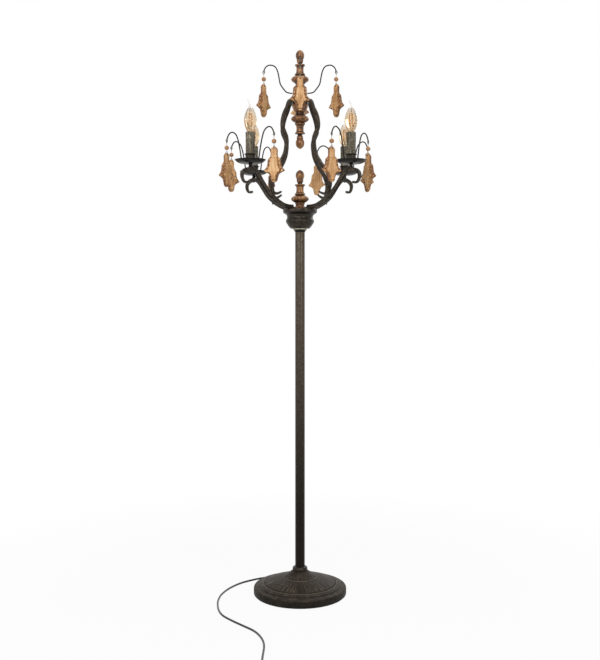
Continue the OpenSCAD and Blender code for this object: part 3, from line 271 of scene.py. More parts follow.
def mottled_wax(name, dark, mid, pale):
    """Khaki-grey candle sleeves, spotted and with upright runs."""
    f = Finish(name, Specular_IOR_Level=0.3)
    spots = f.noise(330.0, 4.0, 0.7)
    runs = f.noise(1.0, 4.0, 0.6, at=f.scaled(260.0, 260.0, 18.0))
    tone = spots * 0.6 + runs * 0.4
    colour = f.mix(tone.between(0.38, 0.56), dark, mid)
    colour = f.mix(tone.between(0.53, 0.62), colour, pale)
    f.set(Base_Color=colour, Roughness=0.56 - tone.between(0.5, 0.7) * 0.14)
    f.bump(tone, 0.0006, 0.5)


def plain(name, base, metal, rough, scale):
    """One colour with soft clouds and a fine grit."""
    f = Finish(name, Metallic=metal)
    grit = f.noise(scale, 5.0, 0.6)
    soft = f.noise(scale * 0.12, 3.0, 0.5)
    f.set(Base_Color=f.mix(soft.between(0.35, 0.65), tuple(c * 0.8 for c in base), base),
          Roughness=rough + grit * 0.12 - 0.06)
    f.bump(grit, 0.00015, 0.35)


def amber_glass(name):
    """Thin glass, amber below and clear in the tail."""
    f = Finish(name, Roughness=0.05, IOR=1.2, Transmission_Weight=1.0)
    haze = f.noise(30.0, 2.0, 0.5)
    tint = f.mix(haze.between(0.3, 0.7), rgb("e8d8c2"), rgb("f0e4d3"))
    f.set(Base_Color=f.mix(f.parts()[2].between(1.352, 1.392), tint, rgb("f3f0ec")))


def filament(name):
    """Filaments of a lamp that is off, with a faint glow of their own colour."""
    f = Finish(name, Emission_Strength=0.12)
    beads = f.noise(900.0, 2.0, 0.5)
    f.set(Base_Color=f.mix(beads.between(0.4, 0.6), rgb("b98a50"), rgb("cf9f60")),
          Emission_Color=f.mix(beads.between(0.4, 0.6), rgb("e8a850"), rgb("f0b866")), Roughness=0.5)


def milky_glass(name):
    """The glass stem that carries the filaments."""
    f = Finish(name, Roughness=0.12)
    cloud = f.noise(80.0, 2.0, 0.5)
    f.set(Base_Color=f.mix(cloud.between(0.3, 0.7), rgb("d9d2c4"), rgb("f3efe6")))


def make_finishes():
    """Every finish of the lamp; the main colours come from the settings."""
    look = bpy.context.scene.lamp_finish
    iron, pale = tuple(look.iron), tuple(look.rubbed)
    mid = tuple(a * 0.84 + b * 0.16 for a, b in zip(iron, pale))
    weathered_iron("iron", iron, mid, pale)
    # the pole darkens towards the floor: painted shade
    weathered_iron("pole_iron", rgb("38322a"), rgb("5a5145"), rgb("857a68"), grain=1.6, metal=0.6, rough=0.32,
                   painted_shade_below=(0.15, 0.95, rgb("1a1510")))
    weathered_iron("hub_iron", rgb("14100c"), rgb("3a332b"), rgb("857a68"), grain=1.6, metal=0.5, rough=0.34)
    # near-black paint of the hub's collar, and painted shade in the hub's grooves and under its plate
    weathered_iron("dark_iron_and_painted_shade", rgb("060504"), rgb("15120f"), rgb("2e2a24"))
    weathered_iron("wire_iron", rgb("11100e"), rgb("26231f"), rgb("46423b"), grain=1.6)
    brushed_base("base_iron", rgb("0c0906"), rgb("2e251c"), rgb("73685a"))
    glazed_wood("turned_wood", rgb("3a2413"), rgb("805533"), tuple(look.gold))
    # darker wood that is only painted shade in the finials' grooves
    glazed_wood("turned_wood_painted_shade", rgb("160c06"), rgb("3b2614"), rgb("6e4a2a"))
    weathered_iron("pan_iron", rgb("0d0c0a"), rgb("24211c"), rgb("4f493e"))
    carved_wood("drop_wood", rgb("99693e"), tuple(look.drop), rgb("edca98"))
    # darker wood that is only painted shade on the drops' borders, sides and panel walls
    carved_wood("drop_painted_shade", rgb("3d2411"), rgb("7f5330"), rgb("bd8a54"))
    carved_wood("bead_wood", rgb("7a5232"), rgb("b08056"), rgb("d0a77c"))
    mottled_wax("sleeve_wax", rgb("332e24"), rgb("605848"), rgb("b5aa90"))
    plain("zinc", rgb("b9b6a8"), 0.9, 0.34, 180.0)
    plain("felt", rgb("1c1b1a"), 0.0, 0.95, 900.0)
    plain("rubber", rgb("17181a"), 0.0, 0.6, 420.0)
    plain("cord_skin", rgb("08080a"), 0.0, 0.22, 700.0)
    plain("plug_shell", rgb("1a1b1d"), 0.0, 0.42, 380.0)
    plain("holder_black", rgb("15150f"), 0.0, 0.4, 300.0)
    plain("cap_metal", rgb("c9bd98"), 0.95, 0.28, 240.0)
    plain("pin_wire", rgb("8c8474"), 0.8, 0.4, 500.0)
    plain("bright_ring", rgb("ddd3bd"), 0.9, 0.22, 160.0)
    amber_glass("amber_glass")
    filament("filament")
    milky_glass("stem_glass")


# ---------------------------------------------------------------- mesh helpers
def curve_points(points, steps):
    """A smooth curve through all the points, steps from one to the next."""
    points = [Vector(p) for p in points]
    last = len(points) - 1
    out = []
    for i in range(last):
        a, b = points[max(i - 1, 0)], points[i]
        c, d = points[i + 1], points[min(i + 2, last)]
        for j in range(steps):
            t = j / steps
            out.append(0.5 * (2 * b + (c - a) * t + (2 * a - 5 * b + 4 * c - d) * t * t
                              + (3 * b - a - 3 * c + d) * t ** 3))
    out.append(points[last])
    return out


def smooth(pairs, steps):
    """The same curve through the (radius, height) points of a profile."""
    return [(p.x, p.y) for p in curve_points([(r, z, 0) for r, z in pairs], steps)]


def up(z, *points):
    """Profile points whose heights count from z."""
    return [(r, z + rise) for r, rise in points]


def held(value):
    """That value, held between 0 and 1."""
    return min(1.0, max(0.0, value))


def angles(count, shift=0.0):
    """Even steps around a circle; shift turns them by that share of a step."""
    return [2 * math.pi * (k + shift) / count for k in range(count)]


def circle(r, z, count, x=0.0, y=0.0, shift=0.0):
    """Points around a level circle."""
    return [(x + r * math.cos(a), y + r * math.sin(a), z) for a in angles(count, shift)]


def ahead(path, i):
    """The direction of a line at its point i."""
    return (path[min(i + 1, len(path) - 1)] - path[max(i - 1, 0)]).normalized()


def skin(name, verts, faces):
    """A mesh with its faces turned outwards."""
    mesh = bpy.data.meshes.new(name)
    mesh.from_pydata(verts, [], faces)
    work = bmesh.new()
    work.from_mesh(mesh)
    bmesh.ops.recalc_face_normals(work, faces=work.faces)
    work.to_mesh(mesh)
    work.free()
    return mesh


def shown(name, mesh):
    """An object for that mesh, in the scene."""
    obj = bpy.data.objects.new(name, mesh)
    bpy.context.scene.collection.objects.link(obj)
    return obj


# Faces that meet at more than this angle, in degrees, keep a sharp edge
CREASE = 35.0


def piece(name, verts, faces, finish, body=LAMP, nodes=(), slot=None, crease=CREASE):
    """A new piece from points in millimetres, riding on a body and standing for CAD nodes."""
    mesh = skin(name, [tuple(c * MM for c in v) for v in verts], faces)
    mesh.shade_smooth()
    mesh.set_sharp_from_angle(angle=math.radians(crease))
    obj = shown(name, mesh)
    obj.data.materials.append(FINISH[finish])
    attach(obj, body)
    if nodes:
        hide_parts(*nodes)
    return obj


class Shape:
    """Points and faces of one piece, gathered before it is made."""

    def __init__(self):
        self.verts, self.faces = [], []

    def add(self, verts, faces, move=None):
        start = len(self.verts)
        self.verts += [tuple(move @ Vector(v)) if move else tuple(v) for v in verts]
        self.faces += [tuple(start + i for i in f) for f in faces]
        return self

    def loft(self, rings, closed=False, caps=True, move=None):
        """A skin over rings of equal size; closed joins the last ring to the first."""
        count = len(rings[0])
        faces = []
        for k in range(len(rings) - (0 if closed else 1)):
            a, b = k * count, (k + 1) % len(rings) * count
            faces += [(a + i, a + (i + 1) % count, b + (i + 1) % count, b + i) for i in range(count)]
        if caps and not closed:
            faces.append(tuple(range(count - 1, -1, -1)))
            faces.append(tuple((len(rings) - 1) * count + i for i in range(count)))
        return self.add([v for r in rings for v in r], faces, move)

    def lathe(self, profile, around=64, move=None):
        """A turned body from (radius, height) points; radius 0 closes to a point."""
        verts, faces, rows = [], [], []
        for r, z in profile:
            if r < 1e-6:
                rows.append([len(verts)])
                verts.append((0.0, 0.0, z))
            else:
                rows.append(list(range(len(verts), len(verts) + around)))
                verts += circle(r, z, around)
        for low, high in zip(rows, rows[1:] + ([rows[0]] if len(rows[0]) > 1 and len(rows[-1]) > 1 else [])):
            for j in range(around):
                k = (j + 1) % around
                if len(low) == 1 and len(high) > 1:
                    faces.append((low[0], high[k], high[j]))
                elif len(high) == 1 and len(low) > 1:
                    faces.append((low[j], low[k], high[0]))
                elif len(low) > 1:
                    faces.append((low[j], low[k], high[k], high[j]))
        return self.add(verts, faces, move)

    def tube(self, path, radius, sides=12, move=None):
        """A round tube; radius is a number or a list with one for each point."""
        path = [Vector(p) for p in path]
        sizes = radius if isinstance(radius, (list, tuple)) else [radius] * len(path)
        rings = []
        side = None
        for i, p in enumerate(path):
            way = ahead(path, i)
            if side is None:
                guess = Vector((0, 0, 1)) if abs(way.z) < 0.9 else Vector((1, 0.2, 0))
                side = guess.cross(way).normalized()
            side = (side - way * side.dot(way)).normalized()
            top = way.cross(side)
            rings.append([p + sizes[i] * (side * math.cos(a) + top * math.sin(a)) for a in angles(sides)])
        return self.loft(rings, move=move)

    def make(self, name, finish, **facts):
        return piece(name, self.verts, self.faces, finish, **facts)


def lathed(name, finish, profile, around, place=None, **facts):
    """A turned piece of its own, in the place of the CAD node of that name."""
    return Shape().lathe(profile, around, place).make(name, finish, nodes=[name], **facts)


def turned(bearing, reach=0.0, z=0.0):
    """The place of something at that bearing and distance from the lamp's axis."""
    return Matrix.Rotation(math.radians(bearing), 4, "Z") @ Matrix.Translation((reach, 0.0, z))


def paint_shade_in_hollows(obj, profile, around, finish, reach=2.6, depth=0.45):
    """The grooves of a turned piece get painted shade: the faces that lie deeper than their neighbours take
    the darker finish.
    """
    def radius(z):
        for (r0, z0), (r1, z1) in zip(profile, profile[1:]):
            if min(z0, z1) <= z <= max(z0, z1) and z0 != z1:
                return r0 + (r1 - r0) * (z - z0) / (z1 - z0)
        return None

    obj.data.materials.append(FINISH[finish])
    for k, ((r0, z0), (r1, z1)) in enumerate(zip(profile, profile[1:])):
        z, r = (z0 + z1) / 2, (r0 + r1) / 2
        near = [radius(z - reach), radius(z + reach)]
        if None not in near and r > 2 and (near[0] + near[1]) / 2 - r > depth:
            for face in obj.data.polygons[k * around:(k + 1) * around]:
                face.material_index = 1


def dress(nodes, finish):
    """A CAD node that stays gets its own finish."""
    for name in nodes:
        mesh = NODES[name].data
        mesh.materials.clear()
        mesh.materials.append(FINISH[finish])
        mesh.shade_smooth()
        mesh.set_sharp_from_angle(angle=math.radians(CREASE))


# ---------------------------------------------------------------- settings
class LampFinish(bpy.types.PropertyGroup):
    """Colours of the main finishes"""

    iron: bpy.props.FloatVectorProperty(
        name="Iron", description="Dark paint of the iron", subtype="COLOR", size=3, min=0, max=1,
        default=rgb("15110d"))
    rubbed: bpy.props.FloatVectorProperty(
        name="Rubbed iron", description="Tone where the paint is rubbed", subtype="COLOR", size=3,
        min=0, max=1, default=rgb("a3927e"))
    gold: bpy.props.FloatVectorProperty(
        name="Wood glaze", description="Bronze-gold glaze of the turned wood", subtype="COLOR", size=3,
        min=0, max=1, default=rgb("c8965e"))
    drop: bpy.props.FloatVectorProperty(
        name="Drops", description="Stain of the carved drops", subtype="COLOR", size=3, min=0, max=1,
        default=rgb("d2a06b"))


class LampCord(bpy.types.PropertyGroup):
    """Thickness of the cord"""

    diameter: bpy.props.FloatProperty(
        name="Cord diameter", description="Diameter of the round cord", default=0.0056, unit="LENGTH")


# The photograph's height, its horizon and the focal length, in pixels; the sensor in mm
PHOTO_H, HORIZON_Y, FOCAL_PX, SENSOR_H = 660, 280, 930, 36


class LampStudio(bpy.types.PropertyGroup):
    """Place and lens of the camera"""

    distance: bpy.props.FloatProperty(
        name="Camera distance", description="From the lamp's axis to the camera", default=2.697,
        unit="LENGTH")
    height: bpy.props.FloatProperty(
        name="Camera height", description="Height of the camera above the floor", default=0.9079,
        unit="LENGTH")
    lens: bpy.props.FloatProperty(
        name="Lens", description="Focal length for a frame 36 mm high",
        default=FOCAL_PX / PHOTO_H * SENSOR_H)


class LampStep:
    bl_options = {"REGISTER", "UNDO"}


# ---------------------------------------------------------------- studio
def seen_rays(tree):
    """1 for rays that reach the camera straight, by a mirror or through glass; else 0."""
    path = add_node(tree, "LightPath")
    straight, mirrored, through = (Wire(tree, path.outputs["Is %s Ray" % kind])
                                   for kind in ("Camera", "Glossy", "Transmission"))
    return (straight + mirrored + through).maths("MINIMUM", 1.0)


def blend(tree, share, first, second, output):
    """A mix of two shaders, linked to the output of the tree."""
    node = add_node(tree, "MixShader", None,
                    {0: share, 1: Wire(tree, first.outputs[0]), 2: Wire(tree, second.outputs[0])})
    tree.links.new(node.outputs[0], tree.nodes[output].inputs["Surface"])


class OBJECT_OT_lamp_studio(LampStep, bpy.types.Operator):
    """Camera, floor, world and soft lights"""

    bl_idname = "object.lamp_studio"
    bl_label = "Studio"

    def execute(self, context):
        scene = context.scene
        studio = scene.lamp_studio
        data = bpy.data.cameras.new("camera")
        data.sensor_fit = "VERTICAL"
        data.sensor_height = SENSOR_H
        data.lens = studio.lens
        data.shift_y = (HORIZON_Y - PHOTO_H / 2) / PHOTO_H
        data.clip_end = 50.0
        camera = bpy.data.objects.new("camera", data)
        camera.location = (0.0, -studio.distance, studio.height)
        camera.rotation_euler = (math.pi / 2, 0.0, 0.0)
        scene.collection.objects.link(camera)
        scene.camera = camera
        scene.view_settings.view_transform = "Standard"
        self.floor()
        self.world(scene)
        for name, place, size, tall, power in (
            ("key", (-0.9, -2.9, 2.4), 1.8, 1.8, 50.0), ("right", (1.9, -2.4, 1.7), 0.4, 1.6, 19.0),
            ("left", (-2.4, -2.1, 1.7), 0.4, 1.6, 13.0), ("top", (0.2, -0.2, 3.4), 1.5, 1.5, 20.0),
            ("rim", (1.6, 2.0, 2.2), 1.4, 1.4, 12.0),
        ):
            lamp = bpy.data.lights.new(name, "AREA")
            lamp.shape = "RECTANGLE"
            lamp.size = size
            lamp.size_y = tall
            lamp.energy = power
            obj = bpy.data.objects.new(name, lamp)
            obj.location = place
            aim = Vector((0.0, 0.0, 0.9)) - Vector(place)
            obj.rotation_euler = aim.to_track_quat("-Z", "Y").to_euler()
            scene.collection.objects.link(obj)
        return {"FINISHED"}

    def floor(self):
        far = 60
        mesh = bpy.data.meshes.new("floor")
        mesh.from_pydata([(-far, -far, 0), (far, -far, 0), (far, far, 0), (-far, far, 0)], [], [(0, 1, 2, 3)])
        floor = shown("floor", mesh)
        material = bpy.data.materials.new("pale_floor")
        material.use_nodes = True
        tree = material.node_tree
        tree.nodes.remove(tree.nodes["Principled BSDF"])
        matt = add_node(tree, "BsdfDiffuse", None, {"Color": (0.82, 0.82, 0.82)})
        white = add_node(tree, "Emission", None, {"Color": (1, 1, 1), "Strength": 1.0})
        where = Wire(tree, add_node(tree, "TexCoord").outputs["Object"])
        away = add_node(tree, "VectorMath", {"operation": "LENGTH"}, {0: where})
        # by the lamp the floor shows its shadow; further out it is as white as the background
        white_share = Wire(tree, away.outputs["Value"]).between(0.5, 1.5) * 0.07 + 0.93
        blend(tree, seen_rays(tree) * white_share, matt, white, "Material Output")
        mesh.materials.append(material)

    def world(self, scene):
        world = bpy.data.worlds.new("studio")
        scene.world = world
        world.use_nodes = True
        tree = world.node_tree
        soft = tree.nodes["Background"]
        soft.inputs["Color"].default_value = (0.93, 0.96, 1.0, 1)
        soft.inputs["Strength"].default_value = 0.22
        white = add_node(tree, "Background", None, {"Color": (1, 1, 1)})
        blend(tree, seen_rays(tree), soft, white, "World Output")


# ---------------------------------------------------------------- cord
# Bearing and height of the cord's way out of the base; then the switch, the coil and the plug
EXIT_AZ, EXIT_Z = 128.0, 9.0
BASE_R, BUSHING_OUT = 133.8, 12.0
SWITCH_X, SWITCH_Y, SWITCH_LEN, SWITCH_Z, SWITCH_BORE = -90.0, -570.0, 84.0, 9.0, 8.0
CORD_R, CORD_D = 2.8, 5.6
COIL_TURNS, COIL_IN, COIL_PITCH, COIL_Y, COIL_LIFT = 3, 22.0, 7.5, -666.0, 6.2
COIL_OUT = COIL_IN + COIL_TURNS * COIL_PITCH
COIL_X = SWITCH_X + COIL_OUT
PLUG_X, PLUG_Y, PLUG_Z = COIL_X + COIL_OUT, COIL_Y + 34.0, CORD_R + COIL_LIFT


def on_exit(r, z):
    """A point above the cord's way out, r from the lamp's axis."""
    a = math.radians(EXIT_AZ)
    return (r * math.cos(a), r * math.sin(a), z)


# The cord's route: inside the base, then over the floor to the switch
ROUTE_IN = [(0, 0, 42), (0, 0, 34), on_exit(6, 22), on_exit(24, 12.4), on_exit(50, 9), on_exit(80.3, 9),
            on_exit(96.3, 9), on_exit(112.4, 9), on_exit(130.5, 9)]
ROUTE_OUT = [
    on_exit(BASE_R + BUSHING_OUT, 9), on_exit(BASE_R + BUSHING_OUT + 6, 8.6), (-103, 126, 4.6),
    (-119, 125, CORD_R), (-150, 104, CORD_R), (-179, 77, CORD_R), (-206, 35, CORD_R), (-225, -17, CORD_R),
    (-231, -67, CORD_R), (-229, -108, CORD_R), (-222, -151, CORD_R), (-208, -189, CORD_R),
    (-181, -226, CORD_R), (-150, -262, CORD_R), (-118, -300, CORD_R), (-98, -345, CORD_R),
    (-89, -395, CORD_R), (SWITCH_X, SWITCH_Y + 106, CORD_R), (SWITCH_X, SWITCH_Y + 78, CORD_R),
    (SWITCH_X, SWITCH_Y + 62, 6.2),
    (SWITCH_X, SWITCH_Y + SWITCH_LEN / 2 + CORD_D, SWITCH_Z), (SWITCH_X, SWITCH_Y + SWITCH_LEN / 2, SWITCH_Z),
    (SWITCH_X, SWITCH_Y + SWITCH_LEN / 2 - SWITCH_BORE, SWITCH_Z),
]


def coil_point(t):
    """The coil after t turns: inwards on the floor, up, and outwards on top of itself."""
    if t <= COIL_TURNS:
        r = COIL_OUT - COIL_PITCH * t
    else:
        r = COIL_IN + COIL_PITCH * max(0.0, t - COIL_TURNS - 0.5)
    s = held((t - COIL_TURNS) * 2)
    a = math.pi + 2 * math.pi * t
    return (COIL_X + r * math.cos(a), COIL_Y + r * math.sin(a), CORD_R + COIL_LIFT * s * s * (3 - 2 * s))


def run_path():
    """The line of the cord from inside the base to the switch."""
    return curve_points(ROUTE_IN + ROUTE_OUT, 4)


def coil_path():
    """The line of the cord from the switch through the coil to the plug."""
    back = SWITCH_Y - SWITCH_LEN / 2
    lead = curve_points([
        (SWITCH_X, back + SWITCH_BORE, SWITCH_Z), (SWITCH_X, back, SWITCH_Z),
        (SWITCH_X, back - CORD_D, SWITCH_Z), (SWITCH_X, back - 20, 6.4),
        (SWITCH_X, back - 34, CORD_R + 0.4), (SWITCH_X, COIL_Y + 6, CORD_R)], 3)
    loops = [Vector(coil_point(i / 32)) for i in range(int((2 * COIL_TURNS + 0.5) * 32) + 1)]
    tail = [Vector((PLUG_X, COIL_Y + y, PLUG_Z)) for y in (8, 20, 34, 34 + SWITCH_BORE)]
    return lead + loops + tail


def path_length(path):
    """Metres along a line whose points are in millimetres."""
    return sum((b - a).length for a, b in zip(path, path[1:])) * MM


def metres(path):
    return [tuple(c * MM for c in p) for p in path]


class OBJECT_OT_lamp_cord(LampStep, bpy.types.Operator):
    """The cord with its bushing, foot switch, coil and plug"""

    bl_idname = "object.lamp_cord"
    bl_label = "Cord, foot switch and plug"

    def execute(self, context):
        self.bushing()
        switch = self.switch()
        button = self.button()
        plug = self.plug()
        radius = round(context.scene.lamp_cord.diameter / MM / 2, 3)
        lift = Vector((0, 0, radius - CORD_R))
        run = [p + lift for p in run_path()]
        free = [i for i, p in enumerate(run) if math.hypot(p.x, p.y) >= BASE_R + BUSHING_OUT - 0.5][0]
        Shape().tube(run[:free + 1], radius, 14).make("cord_inside", "cord_skin", nodes=["cord_run"])
        cord = Shape().tube(run[free:], radius, 14).make("cord_run", "cord_skin", nodes=["cord_run"])
        metres([run[free]])[0]
        round(path_length(run[free:]), 4)
        metres(run[free:])
        coil = [p + lift for p in coil_path()]
        wound = Shape().tube(coil, radius, 12).make("cord_coil", "cord_skin", nodes=["cord_coil"])
        metres([coil[0]])[0]
        round(path_length(coil), 4)
        metres(coil)
        return {"FINISHED"}

    def bushing(self):
        r = 5.0
        profile = [(3.1, 0), (r, 0), (r, 26.2), (6.4, 26.2), (6.6, 26.8), (6.4, 29.0), (5.6, 29.4)]
        for k in range(4):
            z = 30.0 + k * 2.0
            w = 5.4 - k * 0.3
            profile += [(w, z), (w, z + 1.2), (w - 0.7, z + 1.4), (w - 0.7, z + 1.9)]
        profile += [(4.2, 38.0), (3.1, 38.0)]
        a = math.radians(EXIT_AZ)
        place = (Matrix.Rotation(a, 4, "Z") @ Matrix.Translation((107.8, 0, EXIT_Z))
                 @ Matrix.Rotation(math.pi / 2, 4, "Y"))
        lathed("cord_bushing", "rubber", profile, 32, place)

    def switch(self):
        """A low oval housing: rounded outline, soft top edge and a shallow well for the button."""
        half = 22.0
        long = SWITCH_LEN / 2 - half
        rows = [(0.985, 0.0), (1.0, 0.6), (1.0, 8.2), (0.985, 8.5), (0.985, 8.9), (1.0, 9.2), (1.0, 13.4),
                (0.97, 16.2), (0.91, 18.4), (0.82, 19.6), (0.73, 20.0)]
        rings = [[(SWITCH_X + half * share * math.cos(a),
                   SWITCH_Y + math.copysign(long, math.sin(a)) + half * share * math.sin(a), z)
                  for a in angles(48, 0.5)] for share, z in rows]
        well = [circle(r, z, 48, SWITCH_X, SWITCH_Y, 0.5)
                for r, z in ((14.6, 20.0), (13.9, 19.6), (13.35, 18.8), (13.3, 4.0))]
        return Shape().loft(rings + well).make("foot_switch", "plug_shell", nodes=["foot_switch"])

    def button(self):
        top = 23.8
        profile = [(0, top - 12), (13, top - 12), (13, top - 1.8), (12.6, top - 0.8), (11.8, top - 0.2)]
        for k in range(4):
            r = 10.8 - k * 2.4
            profile += [(r, top - 0.2), (r - 0.4, top - 0.7), (r - 1.0, top - 0.7), (r - 1.4, top - 0.1)]
        profile.append((0, top - 0.1))
        return lathed("switch_button", "plug_shell", profile, 56,
                      Matrix.Translation((SWITCH_X, SWITCH_Y, 0)), body="button")

    def plug(self):
        """A flat moulded two-pin plug with finger grips and a ribbed neck."""
        place = Matrix.Translation((PLUG_X, PLUG_Y, PLUG_Z)) @ Matrix.Rotation(-math.pi / 2, 4, "X")
        rows = [(4.4, 4.2, 0.0), (4.8, 4.4, 0.8), (4.8, 4.4, 2.4), (4.3, 4.0, 2.8), (4.3, 4.0, 3.6),
                (5.0, 4.6, 4.0), (5.2, 4.7, 5.6), (4.8, 4.4, 6.0), (5.0, 4.6, 7.0), (7.5, 5.6, 9.0),
                (11.5, 6.5, 11.6), (14.2, 6.9, 15.0), (14.9, 7.0, 19.0), (14.0, 6.6, 24.0),
                (13.8, 6.5, 28.0), (14.6, 6.8, 33.0), (14.8, 6.9, 35.0), (14.2, 6.4, 36.0)]

        def squared(x):
            """Bends a sine or cosine, so that the circle becomes a rounded rectangle."""
            return math.copysign(abs(x) ** 0.6, x)

        shape = Shape().loft([[(w * squared(math.cos(a)), h * squared(math.sin(a)), z) for a in angles(32)]
                              for w, h, z in rows], move=place)
        for side in (-1, 1):
            pin = Matrix.Translation((side * 9.5, 0, 0))
            shape.lathe([(0, 35), (2, 35), (2, 53), (1.5, 54.4), (0.6, 55), (0, 55)], 20, place @ pin)
        body = shape.make("plug", "plug_shell", nodes=["plug"])
        body.data.materials.append(FINISH["cap_metal"])
        for face in body.data.polygons:
            if (face.center.y / MM - PLUG_Y) > 36.2:
                face.material_index = 1
        return body


# ---------------------------------------------------------------- base and pole
class OBJECT_OT_lamp_base(LampStep, bpy.types.Operator):
    """Cast base, foot collar and the hidden fixings under it"""

    bl_idname = "object.lamp_base"
    bl_label = "Base"

    # Profile of the casting: its outside from the rim to the pole, then its hollow underside
    TOP = [
        (131.4, 2.0), (132.3, 2.3), (132.7, 3.1), (132.8, 4.5), (132.8, 9.0), (132.8, 14.0), (132.75, 17.6),
        (132.3, 19.6), (131.4, 21.2), (130.0, 22.2), (128.4, 22.6), (124.0, 23.5), (119.4, 24.4),
        (118.0, 24.9), (117.2, 25.9), (116.6, 26.9), (115.4, 27.5), (111.0, 29.1), (107.0, 30.7),
        (105.4, 31.6), (104.2, 31.9), (103.3, 31.5), (102.7, 30.7), (102.1, 30.8), (101.5, 31.9),
        (100.6, 32.8), (97.5, 34.1), (90.0, 37.0), (80.0, 40.4), (70.0, 43.6), (62.0, 45.7), (55.0, 47.0),
        (51.2, 47.5), (50.1, 47.9), (49.5, 48.8), (49.0, 49.6), (47.8, 50.1), (44.8, 51.4), (40.0, 53.8),
        (36.0, 56.3), (32.0, 59.3), (28.5, 62.3), (25.0, 65.0), (22.8, 66.6), (21.6, 67.0), (8.2, 67.0),
    ]
    ROOF = [(8.2, 46.0), (22.0, 46.0), (22.0, 50.0), (26.0, 54.0), (36.8, 46.8), (49.8, 40.6), (79.8, 32.4),
            (98.8, 25.6), (106.8, 21.4), (106.8, 2.0)]

    def execute(self, context):
        grow = BASE_R / self.TOP[3][0]
        shape = Shape().lathe([(r * grow if r > 30 else r, z) for r, z in self.TOP + self.ROOF], 180)
        # the top is a little uneven, as it was cast
        swell = 0.22
        for i, (x, y, z) in enumerate(shape.verts):
            r = math.hypot(x, y)
            if z > 21 and 24 < r < 131:
                a = math.atan2(y, x)
                wave = math.sin(a * 37 + r * 0.11) + math.sin(a * 61 - r * 0.23) + math.sin(a * 17 + r * 0.4)
                shape.verts[i] = (x, y, z + swell * (wave / 3))
        shape.make("base_casting", "base_iron", nodes=["base_casting"], crease=50)
        lathed("foot_collar", "hub_iron", [
            (14.15, 67.0), (20.4, 67.0), (21.2, 67.3), (21.5, 68.2), (21.5, 73.4), (21.2, 75.2), (20.4, 76.7),
            (19.0, 77.9), (17.4, 78.5), (16.6, 78.7), (15.9, 78.95), (14.15, 79.0)], 96)
        dress(["base_felt"], "felt")
        dress(["base_nipple", "base_nut", "pole_coupler"], "zinc")
        return {"FINISHED"}


class OBJECT_OT_lamp_pole(LampStep, bpy.types.Operator):
    """The two pole tubes with their fine joint"""

    bl_idname = "object.lamp_pole"
    bl_label = "Pole"

    def execute(self, context):
        r, bore = 14.0, 12.5
        for name, low, high, insert in (("pole_lower", Z_BASE, Z_JOINT - 0.2, False),
                                        ("pole_upper", Z_JOINT, Z_POLE, True)):
            steps = [low + 0.5 + (high - low - 1.0) * i / 24 for i in range(25)]
            side = ([(r - 0.5, low), (r, low + 0.5)] + [(r, z) for z in steps]
                    + [(r, high - 0.5), (r - 0.5, high)])
            inner = ([(HUB_BORE, high), (HUB_BORE, high - 20), (bore, high - 20), (bore, low)] if insert
                     else [(bore, high), (bore, low + 20), (FOOT_BORE, low + 20), (FOOT_BORE, low)])
            lathed(name, "pole_iron", side + inner, 72)
        return {"FINISHED"}


# ---------------------------------------------------------------- hub
class OBJECT_OT_lamp_hub(LampStep, bpy.types.Operator):
    """Collar, bright ring, bowl and stepped plate under the arms"""

    bl_idname = "object.lamp_hub"
    bl_label = "Hub"

    def execute(self, context):
        bore = HUB_BORE
        collar = up(Z_POLE, (bore, 0), (15.0, 0), (15.5, 0.5), (15.6, 1.6), (15.9, 2.8), (16.9, 4.2),
                    (18.5, 5.4), (19.7, 6.4)) + [(19.9, Z_RING), (bore, Z_RING)]
        lathed("hub_collar", "dark_iron_and_painted_shade", collar, 96)
        bright = up(Z_RING, (bore, 0), (19.6, 0), (20.3, 0.5), (20.5, 1.5), (20.3, 2.5))
        lathed("hub_ring", "bright_ring", bright + [(19.6, Z_BOWL), (bore, Z_BOWL)], 96)
        z = Z_BOWL
        outside = smooth(up(z, (27.06, 0), (29.9, 2.4), (34.4, 8.1), (37.7, 13.4), (40.2, 17.4),
                            (41.0, 21.1), (40.6, 24.3), (39.2, 27.0)), 3)
        neck = smooth(up(z, (38.1, 29.2), (37.6, 31.5), (37.7, 34.9), (38.8, 37.4), (39.8, 39.3),
                         (40.6, 40.5)), 2)
        bowl = ([(bore, z)] + outside + up(z, (38.7, 28.0), (38.4, 28.6)) + neck + [(35.5, Z_PLATE)]
                + up(z, (35.5, 16.2), (29.5, 10.1), (24.6, 6), (bore, 6)))
        made = lathed("hub_bowl", "hub_iron", bowl, 96)
        # painted shade in the bowl's grooves
        paint_shade_in_hollows(made, bowl, 96, "dark_iron_and_painted_shade", reach=2.2, depth=0.4)
        z, top = Z_PLATE, Z_HUB
        plate = up(z, (bore, 0), (40.4, 0), (41.6, 0.4), (43.2, 1.6), (44.8, 2.8), (46.4, 3.6), (47.2, 4.0),
                   (47.9, 5.0), (48.3, 5.6), (49.0, 6.2), (49.4, 7.2), (49.5, 8.4), (49.5, 13.6),
                   (49.3, 14.8), (48.8, 15.6)) + up(top, (47.9, -0.3), (46.8, 0), (bore, 0))
        made = lathed("hub_plate", "hub_iron", plate, 120)
        # painted shade on the underside of the plate's lip
        made.data.materials.append(FINISH["dark_iron_and_painted_shade"])
        for face in made.data.polygons:
            if face.center.z / MM < z + 4.6 and face.normal.z < -0.2:
                face.material_index = 1
        dress(["hub_tube", "hub_nut", "arm_screws"], "zinc")
        dress(["lamp_wiring"], "cord_skin")
        return {"FINISHED"}


